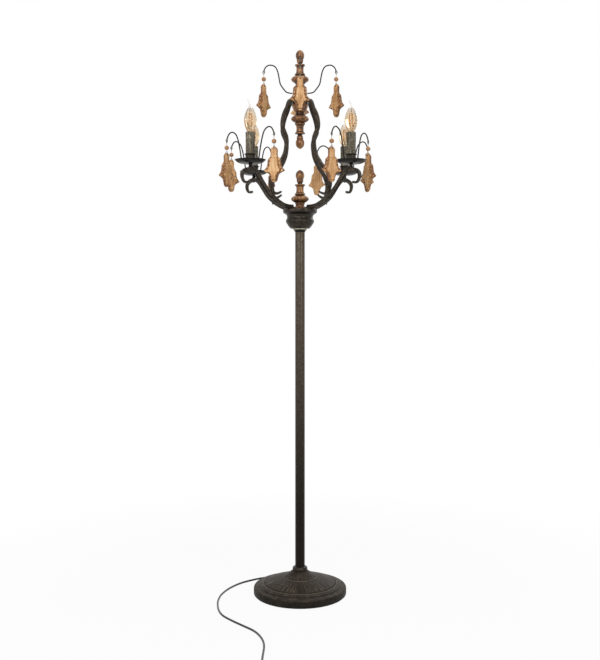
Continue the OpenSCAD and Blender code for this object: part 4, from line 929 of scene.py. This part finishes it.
# ---------------------------------------------------------------- turned wood
# Outline of a finial above its bulb: radius, and share of the height over the foot
FINIAL_SHAPE = [
    (13.6, 0.237), (15.2, 0.25), (15.2, 0.27), (14.0, 0.284), (12.2, 0.301), (11.2, 0.337), (10.5, 0.388),
    (10.5, 0.439), (11.2, 0.485), (12.6, 0.51), (14.6, 0.526), (14.9, 0.546), (14.4, 0.557), (12.0, 0.565),
    (7.4, 0.571), (6.6, 0.587), (7.4, 0.607), (8.6, 0.628), (9.5, 0.663), (9.6, 0.699), (9.2, 0.709),
    (9.6, 0.719), (11.2, 0.755), (12.4, 0.801), (12.38, 0.847), (11.7, 0.888), (9.3, 0.939), (5.5, 0.975),
    (2.5, 0.993), (0.8, 1),
]


def finial_profile(h, foot, low, waist=12.4, bulb=25.9):
    """The outline of a turned finial, from its foot up; low is where its bulb begins."""
    side = [(0, 0), (foot - 0.6, 0), (foot, 0.5), (foot, 1.1), (foot - 0.8, 1.9)]
    if foot > waist + 1:
        side += [(waist + 1.2, low * 0.42), (waist, low * 0.62), (waist, low * 0.72)]
    side += [(waist + 0.6, low * 0.8), (waist + 2.0, low * 0.86), (waist + 2.3, low * 0.92),
             (waist + 2.0, low * 0.97), (waist + 0.4, low * 0.995)]
    for i in range(19):
        turn = math.pi * i / 18
        side.append((waist + (bulb - waist) * math.sin(turn) ** 0.8, low + (h - low) * 0.229 * i / 18))
    over = smooth([(r, low + (h - low) * share) for r, share in FINIAL_SHAPE], 3)
    return side + [(max(r, 0.5), min(z, h)) for r, z in over] + [(0, h)]


class OBJECT_OT_lamp_turnings(LampStep, bpy.types.Operator):
    """The three finials and the wooden parts of the crown"""

    bl_idname = "object.lamp_turnings"
    bl_label = "Turned wood"

    def execute(self, context):
        down = Matrix.Translation((0, 0, Z_CUP_LOW)) @ Matrix.Rotation(math.pi, 4, "X")
        for name, size, place in (
            ("lower_finial", (113.0, 18.9, 17.5), Matrix.Translation((0, 0, Z_HUB))),
            ("upper_finial", (109.5, 18.9, 12.5), Matrix.Translation((0, 0, Z_COLLAR_TOP))),
            ("drop_finial", (105.5, 13.0, 7.5), down),
        ):
            side = finial_profile(*size)
            made = lathed(name, "turned_wood", side, 72, place)
            # painted shade in the finials' grooves
            paint_shade_in_hollows(made, side, 72, "turned_wood_painted_shade")
        collar = up(Z_RING_TOP, (ROD_BORE, 0), (21.4, 0), (22.0, 0.5), (22.0, 2.0), (21.3, 2.7), (20.6, 3.6),
                    (20.3, 5.0), (20.5, 14.0), (20.5, 27.5), (20.2, 28.5), (19.6, 29.0), (19.7, 29.8),
                    (20.2, 30.4), (20.0, 31.4), (19.2, 32.0), (ROD_BORE, 32.0))
        lathed("crown_collar", "turned_wood", collar, 72)
        cup = smooth(up(Z_CUP_LOW, (13.0, 0), (14.6, 1.4), (16.4, 5.0), (19.2, 9.6), (22.0, 14.6),
                        (23.4, 19.6)) + [(24.0, Z_CUP_TOP)], 4)
        lathed("crown_cup", "turned_wood", [(ROD_BORE, Z_CUP_LOW)] + cup + [(ROD_BORE, Z_CUP_TOP)], 72)
        dress(["crown_rod"], "zinc")
        return {"FINISHED"}


# ---------------------------------------------------------------- ironwork
# Lines of the arms, scrolls and cage bars, as shares of their reach and rise
ARM_SHAPE = [(0, 0), (0.1055, 0), (0.222, 0.031), (0.3168, 0.098), (0.4137, 0.186), (0.5548, 0.348),
             (0.6486, 0.501), (0.73, 0.666), (0.8094, 0.831), (0.9011, 0.961), (1, 1)]
SCROLL_SHAPE = [(0.677, -0.13), (1.007, -0.397), (0.977, -0.77), (0.687, -1.028), (0.193, -0.986)]
CAGE_SHAPE = [
    (0.308, 1), (0.368, 0.987), (0.402, 0.9635), (0.449, 0.914), (0.531, 0.855), (0.589, 0.792),
    (0.611, 0.733), (0.598, 0.687), (0.542, 0.643), (0.487, 0.5965), (0.47, 0.5436), (0.484, 0.491),
    (0.513, 0.438), (0.575, 0.385), (0.646, 0.345), (0.718, 0.3045), (0.863, 0.2446), (0.957, 0.1877),
    (0.996, 0.1365), (1, 0.0854), (0.97, 0.038)]
ARM_IN, ARM_RISE, ARM_W, ARM_T, GROOVE = 32.0, 93.8, 11.0, 10.6, 5.8
SCROLL_W, SCROLL_DROP = 30.0, 36.0
CAGE_R, HOOK, CAGE_W, LAND_R = 117.0, 34.0, 9.8, 109.96
SCREW_R = 27.6


def arm_line(steps):
    """The middle line of an arm from the hub to the end of its scroll."""
    points = [(ARM_IN + (CANDLE_R - ARM_IN) * a, 0, Z_ARM + ARM_RISE * b) for a, b in ARM_SHAPE]
    points += [(CANDLE_R + SCROLL_W * a, 0, Z_PEAK + SCROLL_DROP * b) for a, b in SCROLL_SHAPE]
    return curve_points(points, steps)


def cage_line(steps):
    """The middle line of a cage bar from the crown ring to its hook on the arm."""
    arm = arm_line(3)
    k = next(i for i in range(1, len(arm)) if arm[i].x >= LAND_R > arm[i - 1].x)
    way = ahead(arm, k)
    land = arm[k] + Vector((-way.z, 0, way.x)) * (ARM_T / 2 + CAGE_W / 2 + 0.2)
    points = [(24.2, 0, Z_CROWN)]
    points += [(CAGE_R * a, 0, land.z + (Z_CROWN - land.z) * b) for a, b in CAGE_SHAPE]
    points += [tuple(land)] + [(land.x - HOOK * a, 0, land.z - HOOK * b)
                               for a, b in ((0.34, 0.087), (0.67, 0.02), (1, -0.13))]
    return curve_points(points, steps)


def bar(path, section, move, seed):
    """A forged bar along a line in the xz plane; section(index) gives (outward, sideways) points."""
    uneven = 0.012
    rings = []
    jitter = random.Random(seed)
    waves = [(jitter.uniform(0.16, 0.5), jitter.uniform(0, 6.3)) for _ in range(3)]
    for i, p in enumerate(path):
        way = ahead(path, i)
        out = Vector((-way.z, 0, way.x))
        swell = 1 + uneven * sum(math.sin(i * f + g) for f, g in waves)
        rings.append([p + out * (u * swell) + Vector((0, -v * swell, 0)) for u, v in section(i)])
    return Shape().loft(rings, move=move)


class OBJECT_OT_lamp_iron(LampStep, bpy.types.Operator):
    """The grooved arms with their scrolls, the cage bars and the crown ring"""

    bl_idname = "object.lamp_iron"
    bl_label = "Arms and cage"

    def execute(self, context):
        steps = 8
        path = arm_line(steps)
        start = (len(ARM_SHAPE) - 1) * steps
        groove_to = start - steps * 0.62
        last = len(path) - 1
        tip_w, tip_t, knob_more = 6.0, 4.6, 0.42

        def arm_section(i):
            s = held((i - start - 2) / (last - start - 4))
            knob = 1.0 + knob_more * math.exp(-((last - 3.0 - i) / 3.4) ** 2)
            if i == last:
                knob *= 0.72
            w = (ARM_W + (tip_w - ARM_W) * s) / 2 * (0.5 + 0.5 * knob)
            t = (ARM_T + (tip_t - ARM_T) * s) / 2 * knob
            g = GROOVE / 2 * (1 - 0.45 * s)
            d = GROOVE if i <= groove_to else max(0.7, GROOVE - (i - groove_to) * 2.0)
            c = 0.9
            return [(t, c - w), (t, w - c), (t - c, w), (c - t, w), (-t, w - c * 0.6), (-t, g + 0.3),
                    (0.35 - t, g), (d - t, g - 0.3), (d - t, 0.3 - g), (0.35 - t, -g), (-t, -g - 0.3),
                    (-t, c * 0.6 - w), (c - t, -w), (t - c, -w)]

        for key, bearing in ARMS.items():
            shape = bar(path, arm_section, turned(bearing), int(bearing))
            # flat seats: under the candle and on the hub's plate
            limit = Z_SEAT + 0.02
            axis = turned(bearing, CANDLE_R).translation
            for k, (x, y, z) in enumerate(shape.verts):
                if z > limit and math.hypot(x - axis.x, y - axis.y) < 14:
                    shape.verts[k] = (x, y, limit)
                elif z < Z_HUB and math.hypot(x, y) < 51:
                    shape.verts[k] = (x, y, Z_HUB)
            self.tongue(shape, turned(bearing, 0, Z_HUB))
            self.stud(shape, path, turned(bearing))
            shape.make("lower_arm_" + key, "iron", nodes=["lower_arm_" + key], crease=42)

        line = cage_line(5)
        end = len(line) - 1
        thin = end - 17
        hook_w = 4.4

        def cage_section(i):
            s = held((i - thin) / (end - thin))
            w = (CAGE_W + (hook_w - CAGE_W) * s) / 2
            if i == end:
                w *= 0.7
            c = w - 1.0 + 0.4 * s
            m = w - 0.28
            return [(-w, -c), (-w, c), (-m, m), (-c, w), (c, w), (m, m), (w, c), (w, -c), (m, -m), (c, -w),
                    (-c, -w), (-m, -m)][::-1]

        for key, bearing in ARMS.items():
            bar(line, cage_section, turned(bearing), int(bearing) + 7).make(
                "cage_arm_" + key, "iron", nodes=["cage_arm_" + key], crease=30)

        band = (up(Z_CUP_TOP, (ROD_BORE, 0), (22.8, 0), (23.6, 0.4), (24.0, 1.2), (24.0, 5))
                + up(Z_RING_TOP, (24.0, -5), (24.0, -1.2), (23.6, -0.4), (22.8, 0), (ROD_BORE, 0)))
        lathed("crown_ring", "hub_iron", band, 72)
        return {"FINISHED"}

    def tongue(self, shape, place):
        """The low inner end of an arm, with the rounded end of its screw."""
        w, h = ARM_W / 2, 4.5
        outline = [(-w, 0), (w, 0), (w, h - 0.8), (w - 0.8, h), (0.8 - w, h), (-w, h - 0.8)]
        rings = [[(x, y * k, z * k) for y, z in outline] for x, k in ((24.2, 0.88), (24.9, 1), (33.0, 1))]
        shape.loft(rings, move=place)
        shape.lathe(up(h, (0, -0.4), (2.9, -0.4), (2.8, 0.5), (2.0, 1.2), (0.9, 1.5), (0, 1.5)), 20,
                    place @ Matrix.Translation((SCREW_R, 0, 0)))

    def stud(self, shape, path, place):
        """The nut under an arm, opposite the foot of the cage bar."""
        k = next(i for i in range(1, len(path)) if path[i].x >= LAND_R - 2 > path[i - 1].x)
        way = ahead(path, k)
        lie = Matrix.Rotation(math.atan2(way.x, way.z) - math.pi / 2, 4, "Y")
        at = place @ Matrix.Translation(path[k]) @ lie
        low = -ARM_T / 2
        shape.lathe(up(low, (0, 0.4), (4.1, 0.4), (4.2, -0.4), (4.0, -2.2), (3.4, -2.6), (1.9, -2.6),
                       (1.8, -4.4), (1.2, -5.0), (0, -5.0)), 6, at)


# ---------------------------------------------------------------- candles
class OBJECT_OT_lamp_candles(LampStep, bpy.types.Operator):
    """Drip pans, cups, candle sleeves and their threaded tubes"""

    bl_idname = "object.lamp_candles"
    bl_label = "Candles"

    def execute(self, context):
        pans, stems, cups, sleeves = Shape(), Shape(), Shape(), Shape()
        under = smooth([(ROD_BORE, 0), (16, 0), (21.6, 0.35), (27.6, 1.3), (33.7, 3.4), (38.0, 6.1),
                        (41.0, 9.0), (42.6, 10.7)], 3)
        over = smooth([(40.4, 9.9), (37.4, 7.6), (33.1, 4.9), (27.0, 2.8), (21.0, 1.85), (15.4, 1.5),
                       (ROD_BORE, 1.5)], 3)
        pan = under + [(43.1, 11.0), (43.2, 11.35), (42.9, 11.6), (42.2, 11.6), (41.4, 11.0)] + over
        for n, bearing in enumerate(ARMS.values()):
            here = turned(bearing, CANDLE_R)
            pans.lathe(pan, 84, here @ Matrix.Translation((0, 0, Z_PAN)))
            z = Z_SEAT
            stems.lathe(up(z, (0, 0), (5.2, 0), (5.5, 0.3), (5.5, 1.6), (4.9, 2.1), (4.6, 2.8), (4.6, 6.6),
                           (4.9, 7.4), (5.5, 7.9), (5.5, 9.2), (5.2, 9.5), (4.0, 9.5))
                        + [(4.0, Z_TUBE_TOP), (0, Z_TUBE_TOP)], 36, here)
            low = Z_PEAK - 4.2
            stems.lathe(up(low, (0, -4.4), (1.6, -4.4), (2.0, -4.0), (2.0, 4), (0, 4)), 20, here)
            corners = [math.pi / 3 * k + 0.3 for k in range(6)]
            hexa = [[(r * math.cos(a), r * math.sin(a), h) for a in corners]
                    for r, h in ((4.1, low - 3.0), (4.6, low - 2.6), (4.6, low - 0.5), (4.2, low - 0.1))]
            stems.loft(hexa, move=here)
            z, top = Z_CUP, Z_FLANGE
            cups.lathe(up(z, (ROD_BORE, 0), (12.4, 0), (13.4, 0.4), (13.9, 1.2), (14.0, 2.4), (13.6, 3.2),
                          (13.5, 4.4), (13.5, 18), (13.7, 21.4), (14.2, 23.0))
                       + up(top, (15.4, -2.2), (16.2, -1.9), (16.5, -1.2), (16.5, -0.7), (16.2, -0.15),
                            (15.6, 0), (13.1, 0)) + up(z, (13.05, 1.6), (ROD_BORE, 1.6)), 72, here)
            self.sleeve(sleeves, here, n)
        pans.make("drip_pans", "pan_iron", nodes=["drip_pans"])
        stems.make("candle_fixings", "pan_iron", nodes=["candle_fixings"])
        cups.make("candle_cups", "hub_iron", nodes=["candle_cups"])
        sleeves.make("candle_sleeves", "sleeve_wax", nodes=["candle_sleeves"], crease=60)
        dress(["lamp_holders"], "holder_black")
        return {"FINISHED"}

    def sleeve(self, shape, here, seed):
        """A candle sleeve with wax runs of uneven length under a soft lip."""
        dice = random.Random(31 + seed)
        runs = [(dice.uniform(0, 2 * math.pi), dice.uniform(12, 46), dice.uniform(0.16, 0.3))
                for _ in range(9)]
        low, high, around = Z_SLEEVE_LOW, Z_SLEEVE, 72
        outer, bore, run_high, lip_high = 12.85, 11.7, 0.62, 0.45
        levels = [low + (high - low) * (i / 40) for i in range(41)]
        rings = []
        for z in levels:
            row = []
            for a in angles(around):
                bulge = 0.0
                for mid, reach, wide in runs:
                    off = abs((a - mid + math.pi) % (2 * math.pi) - math.pi)
                    down = high - z
                    if down < reach:
                        end = min(1.0, (reach - down) / 4.0)
                        ridge = run_high * math.exp(-(off / wide) ** 2)
                        bulge = max(bulge, ridge * (0.55 + 0.45 * end) * end ** 0.5)
                lip = lip_high * math.exp(-((high - 4 - z) / 4.5) ** 2)
                r = outer + min(0.6, bulge + lip) * (1 if z > Z_FLANGE + 0.5 else 0)
                row.append((r * math.cos(a), r * math.sin(a), z))
            rings.append(row)
        for r, z in ((12.9, high - 0.1), (12.5, high), (12.0, high - 0.1), (11.75, high - 0.6), (bore, low)):
            rings.append(circle(r, z, around))
        shape.loft(rings, closed=True, move=here)


# ---------------------------------------------------------------- bulbs
class OBJECT_OT_lamp_bulbs(LampStep, bpy.types.Operator):
    """Candle bulbs with a bent tail, glass stem and upright filaments"""

    bl_idname = "object.lamp_bulbs"
    bl_label = "Bulbs"

    # Outline of the glass: shares of its greatest radius and of its height
    GLASS = [(0.42, 0), (0.52, 0.05), (0.7, 0.15), (0.87, 0.27), (0.97, 0.37), (1, 0.45), (0.97, 0.56),
             (0.85, 0.69), (0.65, 0.82), (0.42, 0.93)]

    def execute(self, context):
        filament_r, lead_r = 0.75, 0.28
        for key, bearing in ARMS.items():
            a = math.radians(bearing)
            here = Matrix.Translation((CANDLE_R * math.cos(a), CANDLE_R * math.sin(a), Z_HOLDER + 0.6))
            node = "bulb_" + key
            facts = {"body": node + "_body", "slot": node}
            self.glass(here).make(node + "_glass", "amber_glass", nodes=[node], **facts)
            cap = [(0, -24), (2.4, -24), (3.2, -23.2), (3.6, -21.8), (5.3, -20.6)]
            for k in range(5):
                z = -19.4 + k * 3.2
                cap += [(6.4, z), (6.9, z + 0.8), (6.9, z + 1.5), (6.4, z + 2.3)]
            cap += [(6.8, -3.2), (6.9, -0.4), (6.6, 0.0), (0, 0)]
            Shape().lathe(cap, 40, here).make(node + "_cap", "cap_metal", **facts)
            stem = Shape().lathe([(0, 0.9), (6.0, 0.9), (5.2, 3.0), (3.2, 7.0), (2.5, 12.0), (2.2, 17.0),
                                  (2.6, 18.4), (2.2, 19.6), (0.7, 20.4), (0.6, 50.0), (0, 50.6)], 24, here)
            stem.make(node + "_stem", "stem_glass", **facts)
            wires, feet = Shape(), Shape()
            for k in range(4):
                t = math.radians(45 + 90 * k)
                for shape, radius, sides, line in (
                    (wires, filament_r, 10, ((3.4, 18.6), (3.7, 27.0), (3.7, 40.0), (3.2, 50.0))),
                    (feet, lead_r, 6, ((1.6, 16.0), (2.6, 17.6), (3.4, 18.8))),
                    (feet, lead_r, 6, ((3.2, 49.8), (1.4, 51.2), (0, 50.4))),
                ):
                    path = [here @ Vector((r * math.cos(t), r * math.sin(t), z)) for r, z in line]
                    shape.tube(path, radius, sides)
            wires.make(node + "_filaments", "filament", **facts)
            feet.make(node + "_leads", "pin_wire", **facts)
        return {"FINISHED"}

    def glass(self, here):
        """Outer and inner skin of the envelope; above the tip it bends over into a fine tail."""
        r, h, wall = 17.7, 70.9, 0.8
        side = smooth([(r * a, h * b) for a, b in self.GLASS], 4)
        rings = [((0.0, 0.0, z), w) for w, z in side]
        tail = [(0.0, 71.0, 3.6), (-0.9, 74.0, 3.0), (-2.2, 78.0, 2.5), (-3.8, 82.0, 2.1), (-5.2, 86.0, 1.6),
                (-6.3, 89.6, 1.1), (-6.8, 91.0, 0.5)]
        rings += [((x, 0.0, z), w) for x, z, w in tail]
        inner = [((0.0, 0.0, min(z, h - 3.5)), max(w - wall, 0.4)) for (x, y, z), w in rings[:len(side)]]
        inner = [((0.0, 0.0, c[2] + (wall if i == 0 else 0)), w) for i, (c, w) in enumerate(inner)]
        out = [circle(w, z, 40, x, y) for (x, y, z), w in inner[::-1] + rings]
        shape = Shape()
        shape.loft(out[:len(inner)], move=here)
        shape.loft(out[len(inner):], move=here)
        return shape


# ---------------------------------------------------------------- wires and hangers
# Lines of the bent wires, as shares of their reach and rise
CROWN_SHAPE = [(0.008, 0), (0.2, 0.035), (0.305, 0.14), (0.43, 0.335), (0.48, 0.585), (0.53, 0.8),
               (0.625, 0.955), (0.81, 1), (0.94, 0.915)]
PAN_SHAPE = [(0.04, 0.15), (0.1, 0.35), (0.17, 0.55), (0.26, 0.75), (0.4, 0.92), (0.64, 1), (0.85, 0.95)]
PAN_ROOT, PAN_RISE, FOOT_LEAN = 33.0, 94.0, -0.4535
EYE_R, EYE_WIRE, WIRE_R, PIN_D, PIN_LEN, HOOK_R = 3.0, 2.4, 1.9, 1.4, 31.0, 4.4
DROP_LEN, DROP_W, DROP_T, PANEL_T, BEAD_AT = 96.0, 59.0, 6.0, 4.5, 17.0
# Outline of a drop: share of its length, and share of its greatest half width
DROP_SHAPE = [
    (0, 0.06), (0.03, 0.2), (0.06, 0.285), (0.1, 0.345), (0.18, 0.33), (0.25, 0.345), (0.29, 0.38),
    (0.325, 0.49), (0.36, 0.585), (0.41, 0.62), (0.47, 0.645), (0.53, 0.68), (0.58, 0.75), (0.625, 0.87),
    (0.67, 1), (0.7, 0.9), (0.735, 0.66), (0.78, 0.47), (0.83, 0.4), (0.88, 0.36), (0.92, 0.33),
    (0.96, 0.28), (0.985, 0.2), (1, 0.08)]


def ring(shape, r, wire, move, n=28, sides=10):
    """A closed ring of round wire in the xz plane of its place."""
    rings = []
    for a in angles(n):
        out = Vector((math.cos(a), 0, math.sin(a)))
        rings.append([out * r + wire * (out * math.cos(b) + Vector((0, 1, 0)) * math.sin(b))
                      for b in angles(sides)])
    return shape.loft(rings, closed=True, move=move)


class OBJECT_OT_lamp_wires(LampStep, bpy.types.Operator):
    """The bent wires with their eyes"""

    bl_idname = "object.lamp_wires"
    bl_label = "Bent wires"

    def execute(self, context):
        root, rise = 20.5, 82.0
        points = [(root + 0.2 + (CROWN_REACH - root) * a, 0, Z_CROWN_WIRE + rise * b) for a, b in CROWN_SHAPE]
        points.append((CROWN_REACH, 0, Z_CROWN_EYE + 2 * EYE_R))
        crown = Shape()
        for az, _ in CROWN.values():
            self.wire(crown, curve_points(points, 6), turned(az), CROWN_REACH, Z_CROWN_EYE)
        crown.make("crown_wires", "wire_iron", nodes=["crown_wires"])
        floor = Z_PAN + 5.4
        points = [(PAN_ROOT + math.sin(FOOT_LEAN) * t, 0, floor + math.cos(FOOT_LEAN) * t)
                  for t in (0, 0.8, 2.4)]
        points += [(PAN_ROOT + (PAN_REACH - PAN_ROOT) * a, 0, floor + (Z_PAN + PAN_RISE - floor) * b)
                   for a, b in PAN_SHAPE]
        points.append((PAN_REACH, 0, Z_PAN_EYE + 2 * EYE_R))
        pans = Shape()
        for arm, bearing, _ in PAN:
            at = turned(ARMS[arm], CANDLE_R).translation
            place = Matrix.Translation(at) @ Matrix.Rotation(math.radians(bearing), 4, "Z")
            self.wire(pans, curve_points(points, 6), place, PAN_REACH, Z_PAN_EYE)
            foot = Matrix.Translation((PAN_ROOT, 0, floor)) @ Matrix.Rotation(FOOT_LEAN, 4, "Y")
            pans.lathe([(0, -0.3), (3.0, -0.3), (3.1, 0.4), (2.5, 1.3), (2.0, 2.4), (0, 2.4)], 24,
                       place @ foot)
        pans.make("pan_wires", "wire_iron", nodes=["pan_wires"])
        return {"FINISHED"}

    def wire(self, shape, path, place, reach, z):
        """A bent wire of slightly uneven thickness, with the eye at its end."""
        sizes = [WIRE_R * (1 + 0.04 * math.sin(i * 1.7)) for i in range(len(path))]
        shape.tube([place @ p for p in path], sizes, 12)
        ring(shape, EYE_R, EYE_WIRE / 2, place @ Matrix.Translation((reach, 0, z + EYE_R)))


class OBJECT_OT_lamp_hangers(LampStep, bpy.types.Operator):
    """Pins, beads and carved drops"""

    bl_idname = "object.lamp_hangers"
    bl_label = "Beads and drops"

    def execute(self, context):
        board = self.drop_mesh()
        for key, (az, turn) in CROWN.items():
            place = turned(az, CROWN_REACH, Z_CROWN_EYE)
            self.hanger("crown_drop_" + key, "crown_hanger_" + key, place, az, turn, board)
        for i, (arm, az, turn) in enumerate(PAN, 1):
            at = turned(ARMS[arm], CANDLE_R).translation + turned(az, PAN_REACH, Z_PAN_EYE).translation
            place = Matrix.Translation(at) @ Matrix.Rotation(math.radians(az), 4, "Z")
            self.hanger("pan_drop_%d" % i, "pan_hanger_%d" % i, place, az, turn, board)
        bpy.data.meshes.remove(board)
        return {"FINISHED"}

    def hanger(self, node, body, place, az, turn, board):
        """Pin with its two eyes, bead and drop, hanging from the eye at that place."""
        swing = EYE_WIRE / 2 + 0.35 + PIN_D / 2
        sink = 1.5
        low = -PIN_LEN - sink + HOOK_R
        across = Matrix.Rotation(math.pi / 2, 4, "Z")
        face = place @ Matrix.Rotation(math.radians(turn - az), 4, "Z") @ Matrix.Translation((0, 0, -PIN_LEN))
        pin = Shape()
        ring(pin, swing, PIN_D / 2, place @ across, 20, 8)
        ring(pin, HOOK_R, PIN_D / 2, face @ Matrix.Translation((0, 0, -sink)) @ across, 24, 8)
        pin.lathe([(0, low), (PIN_D / 2, low), (PIN_D / 2, -swing), (0, -swing)], 12, place)
        lying = Matrix.Rotation(math.pi / 2, 4, "X")
        for z in (-swing - 1.2, -swing - 2.4, low + 1.2):
            ring(pin, 0.85, 0.42, place @ Matrix.Translation((0, 0, z)) @ lying, 16, 6)
        pin.make(node + "_pin", "pin_wire", body=body, slot=node)
        r = 6.5
        beads = [(0.85, -r + 0.5)] + [(r * math.sin(math.pi * k / 20), -r * math.cos(math.pi * k / 20))
                                      for k in range(3, 18)] + [(0.85, r - 0.5)]
        Shape().lathe(beads, 36, place @ Matrix.Translation((0, 0, -BEAD_AT))).make(
            node + "_bead", "bead_wood", body=body, slot=node)
        mesh = board.copy()
        mesh.transform(Matrix.Scale(MM, 4) @ face)
        drop = shown(node + "_board", mesh)
        mesh.materials.append(FINISH["drop_wood"])
        # second finish: painted shade
        mesh.materials.append(FINISH["drop_painted_shade"])
        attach(drop, body)
        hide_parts(node)

    def drop_mesh(self):
        """One carved drop: a raised panel with a scalloped border on a board with eased edges."""
        neck_end, panel_end, scallops, cuff = 0.31, 0.955, 9.5, 0.085
        line = curve_points([(a, b, 0) for a, b in DROP_SHAPE], 5)
        cols = 36
        rings = []
        for p in line:
            v, half = held(p.x), max(p.y, 0.03) * DROP_W / 2
            front, back = [], []
            scallop = abs(math.sin(math.pi * v * scallops)) ** 0.6
            neck = held((neck_end - v) / 0.03)
            step = 0.72 + 0.28 * abs(math.sin(math.pi * v / cuff)) ** 0.5
            for k in range(cols + 1):
                u = -1 + 2 * k / cols
                u = math.copysign(1 - (1 - abs(u)) ** 1.25, u)
                x = u * half
                edge = min(1.0, (1 - abs(u)) * half / 2.4)
                rise = DROP_T * (0.34 + 0.66 * edge ** 0.6)
                border = half * 0.6 + 1.5 * scallop - 0.7
                inside = held((border - abs(x)) / 1.1)
                along = held((v - neck_end) / 0.025) * held((panel_end - v) / 0.025)
                panel = (inside * along) ** 0.8
                rise += (PANEL_T - 0.2) * panel
                leaf = (1 - inside) * edge * (1 - neck)
                rise += leaf * (1.5 * scallop - 1.3) + neck * edge * (2.6 * step - 2.2) * (1 - 0.4 * u * u)
                gutter = math.exp(-((abs(x) - border - 0.9) / 0.8) ** 2) * along
                rise -= 1.1 * gutter * min(1.0, (1 - abs(u)) * half / 1.2)
                rise = max(rise, 1.2)
                front.append((x, DROP_T / 2 - rise, -v * DROP_LEN))
                eased = 0.5 * (1 - min(1.0, (1 - abs(u)) * half / 1.4))
                back.append((x, DROP_T / 2 - eased, -v * DROP_LEN))
            rings.append(front + back[::-1])
        shape = Shape().loft(rings)
        holder = shown("drop", skin("drop", shape.verts, shape.faces))
        hole_r, hole_z = 2.2, -5.4
        drill = Shape().lathe([(0, -12), (hole_r, -12), (hole_r, 12), (0, 12)], 28,
                              Matrix.Translation((0, 0, hole_z)) @ Matrix.Rotation(math.pi / 2, 4, "X"))
        bit_mesh = bpy.data.meshes.new("bit")
        bit_mesh.from_pydata(drill.verts, [], drill.faces)
        bit = shown("bit", bit_mesh)
        bore = holder.modifiers.new("bore", "BOOLEAN")
        bore.operation, bore.object, bore.solver = "DIFFERENCE", bit, "EXACT"
        bpy.context.view_layer.update()
        cut = bpy.data.meshes.new_from_object(holder.evaluated_get(bpy.context.evaluated_depsgraph_get()))
        for spare in (holder, bit):
            bpy.data.objects.remove(spare)
        cut.materials.clear()
        cut.shade_smooth()
        cut.set_sharp_from_angle(angle=math.radians(38))
        # painted shade: the carved border lying low beside the raised panel, the board's sides and the
        # panel's step walls take the darker finish
        for face in cut.polygons:
            deep = face.center.y
            if face.normal.y < 0.4 and deep > -2.9 or -6.4 < deep <= -4.2 and abs(face.normal.y) < 0.8:
                face.material_index = 1
        return cut


# ---------------------------------------------------------------- panel and run
STEPS = [OBJECT_OT_lamp_studio, OBJECT_OT_lamp_cord, OBJECT_OT_lamp_base, OBJECT_OT_lamp_pole,
         OBJECT_OT_lamp_hub, OBJECT_OT_lamp_turnings, OBJECT_OT_lamp_iron, OBJECT_OT_lamp_candles,
         OBJECT_OT_lamp_bulbs, OBJECT_OT_lamp_wires, OBJECT_OT_lamp_hangers]


class VIEW3D_PT_lamp(bpy.types.Panel):
    """Settings and build steps of the floor lamp"""

    bl_idname = "VIEW3D_PT_lamp"
    bl_label = "Candlestick floor lamp"
    bl_space_type = "VIEW_3D"
    bl_region_type = "UI"
    bl_category = "Floor lamp"

    def draw(self, context):
        scene = context.scene
        for group in (scene.lamp_finish, scene.lamp_cord, scene.lamp_studio):
            box = self.layout.box()
            for key in group.bl_rna.properties.keys():
                if key not in ("rna_type", "name"):
                    box.prop(group, key)
        for step in STEPS:
            self.layout.operator(step.bl_idname)


GROUPS = {"lamp_finish": LampFinish, "lamp_cord": LampCord, "lamp_studio": LampStudio}


def register():
    for name, group in GROUPS.items():
        bpy.utils.register_class(group)
        setattr(bpy.types.Scene, name, bpy.props.PointerProperty(type=group))
    for cls in (*STEPS, VIEW3D_PT_lamp):
        bpy.utils.register_class(cls)


def unregister():
    for cls in (VIEW3D_PT_lamp, *reversed(STEPS)):
        bpy.utils.unregister_class(cls)
    for name, group in GROUPS.items():
        delattr(bpy.types.Scene, name)
        bpy.utils.unregister_class(group)


def main():
    register()
    make_finishes()
    for step in STEPS:
        group, name = step.bl_idname.split(".")
        if getattr(getattr(bpy.ops, group), name)() != {"FINISHED"}:
            raise RuntimeError(step.bl_label + " did not finish")


if __name__ == "__main__":
    main()
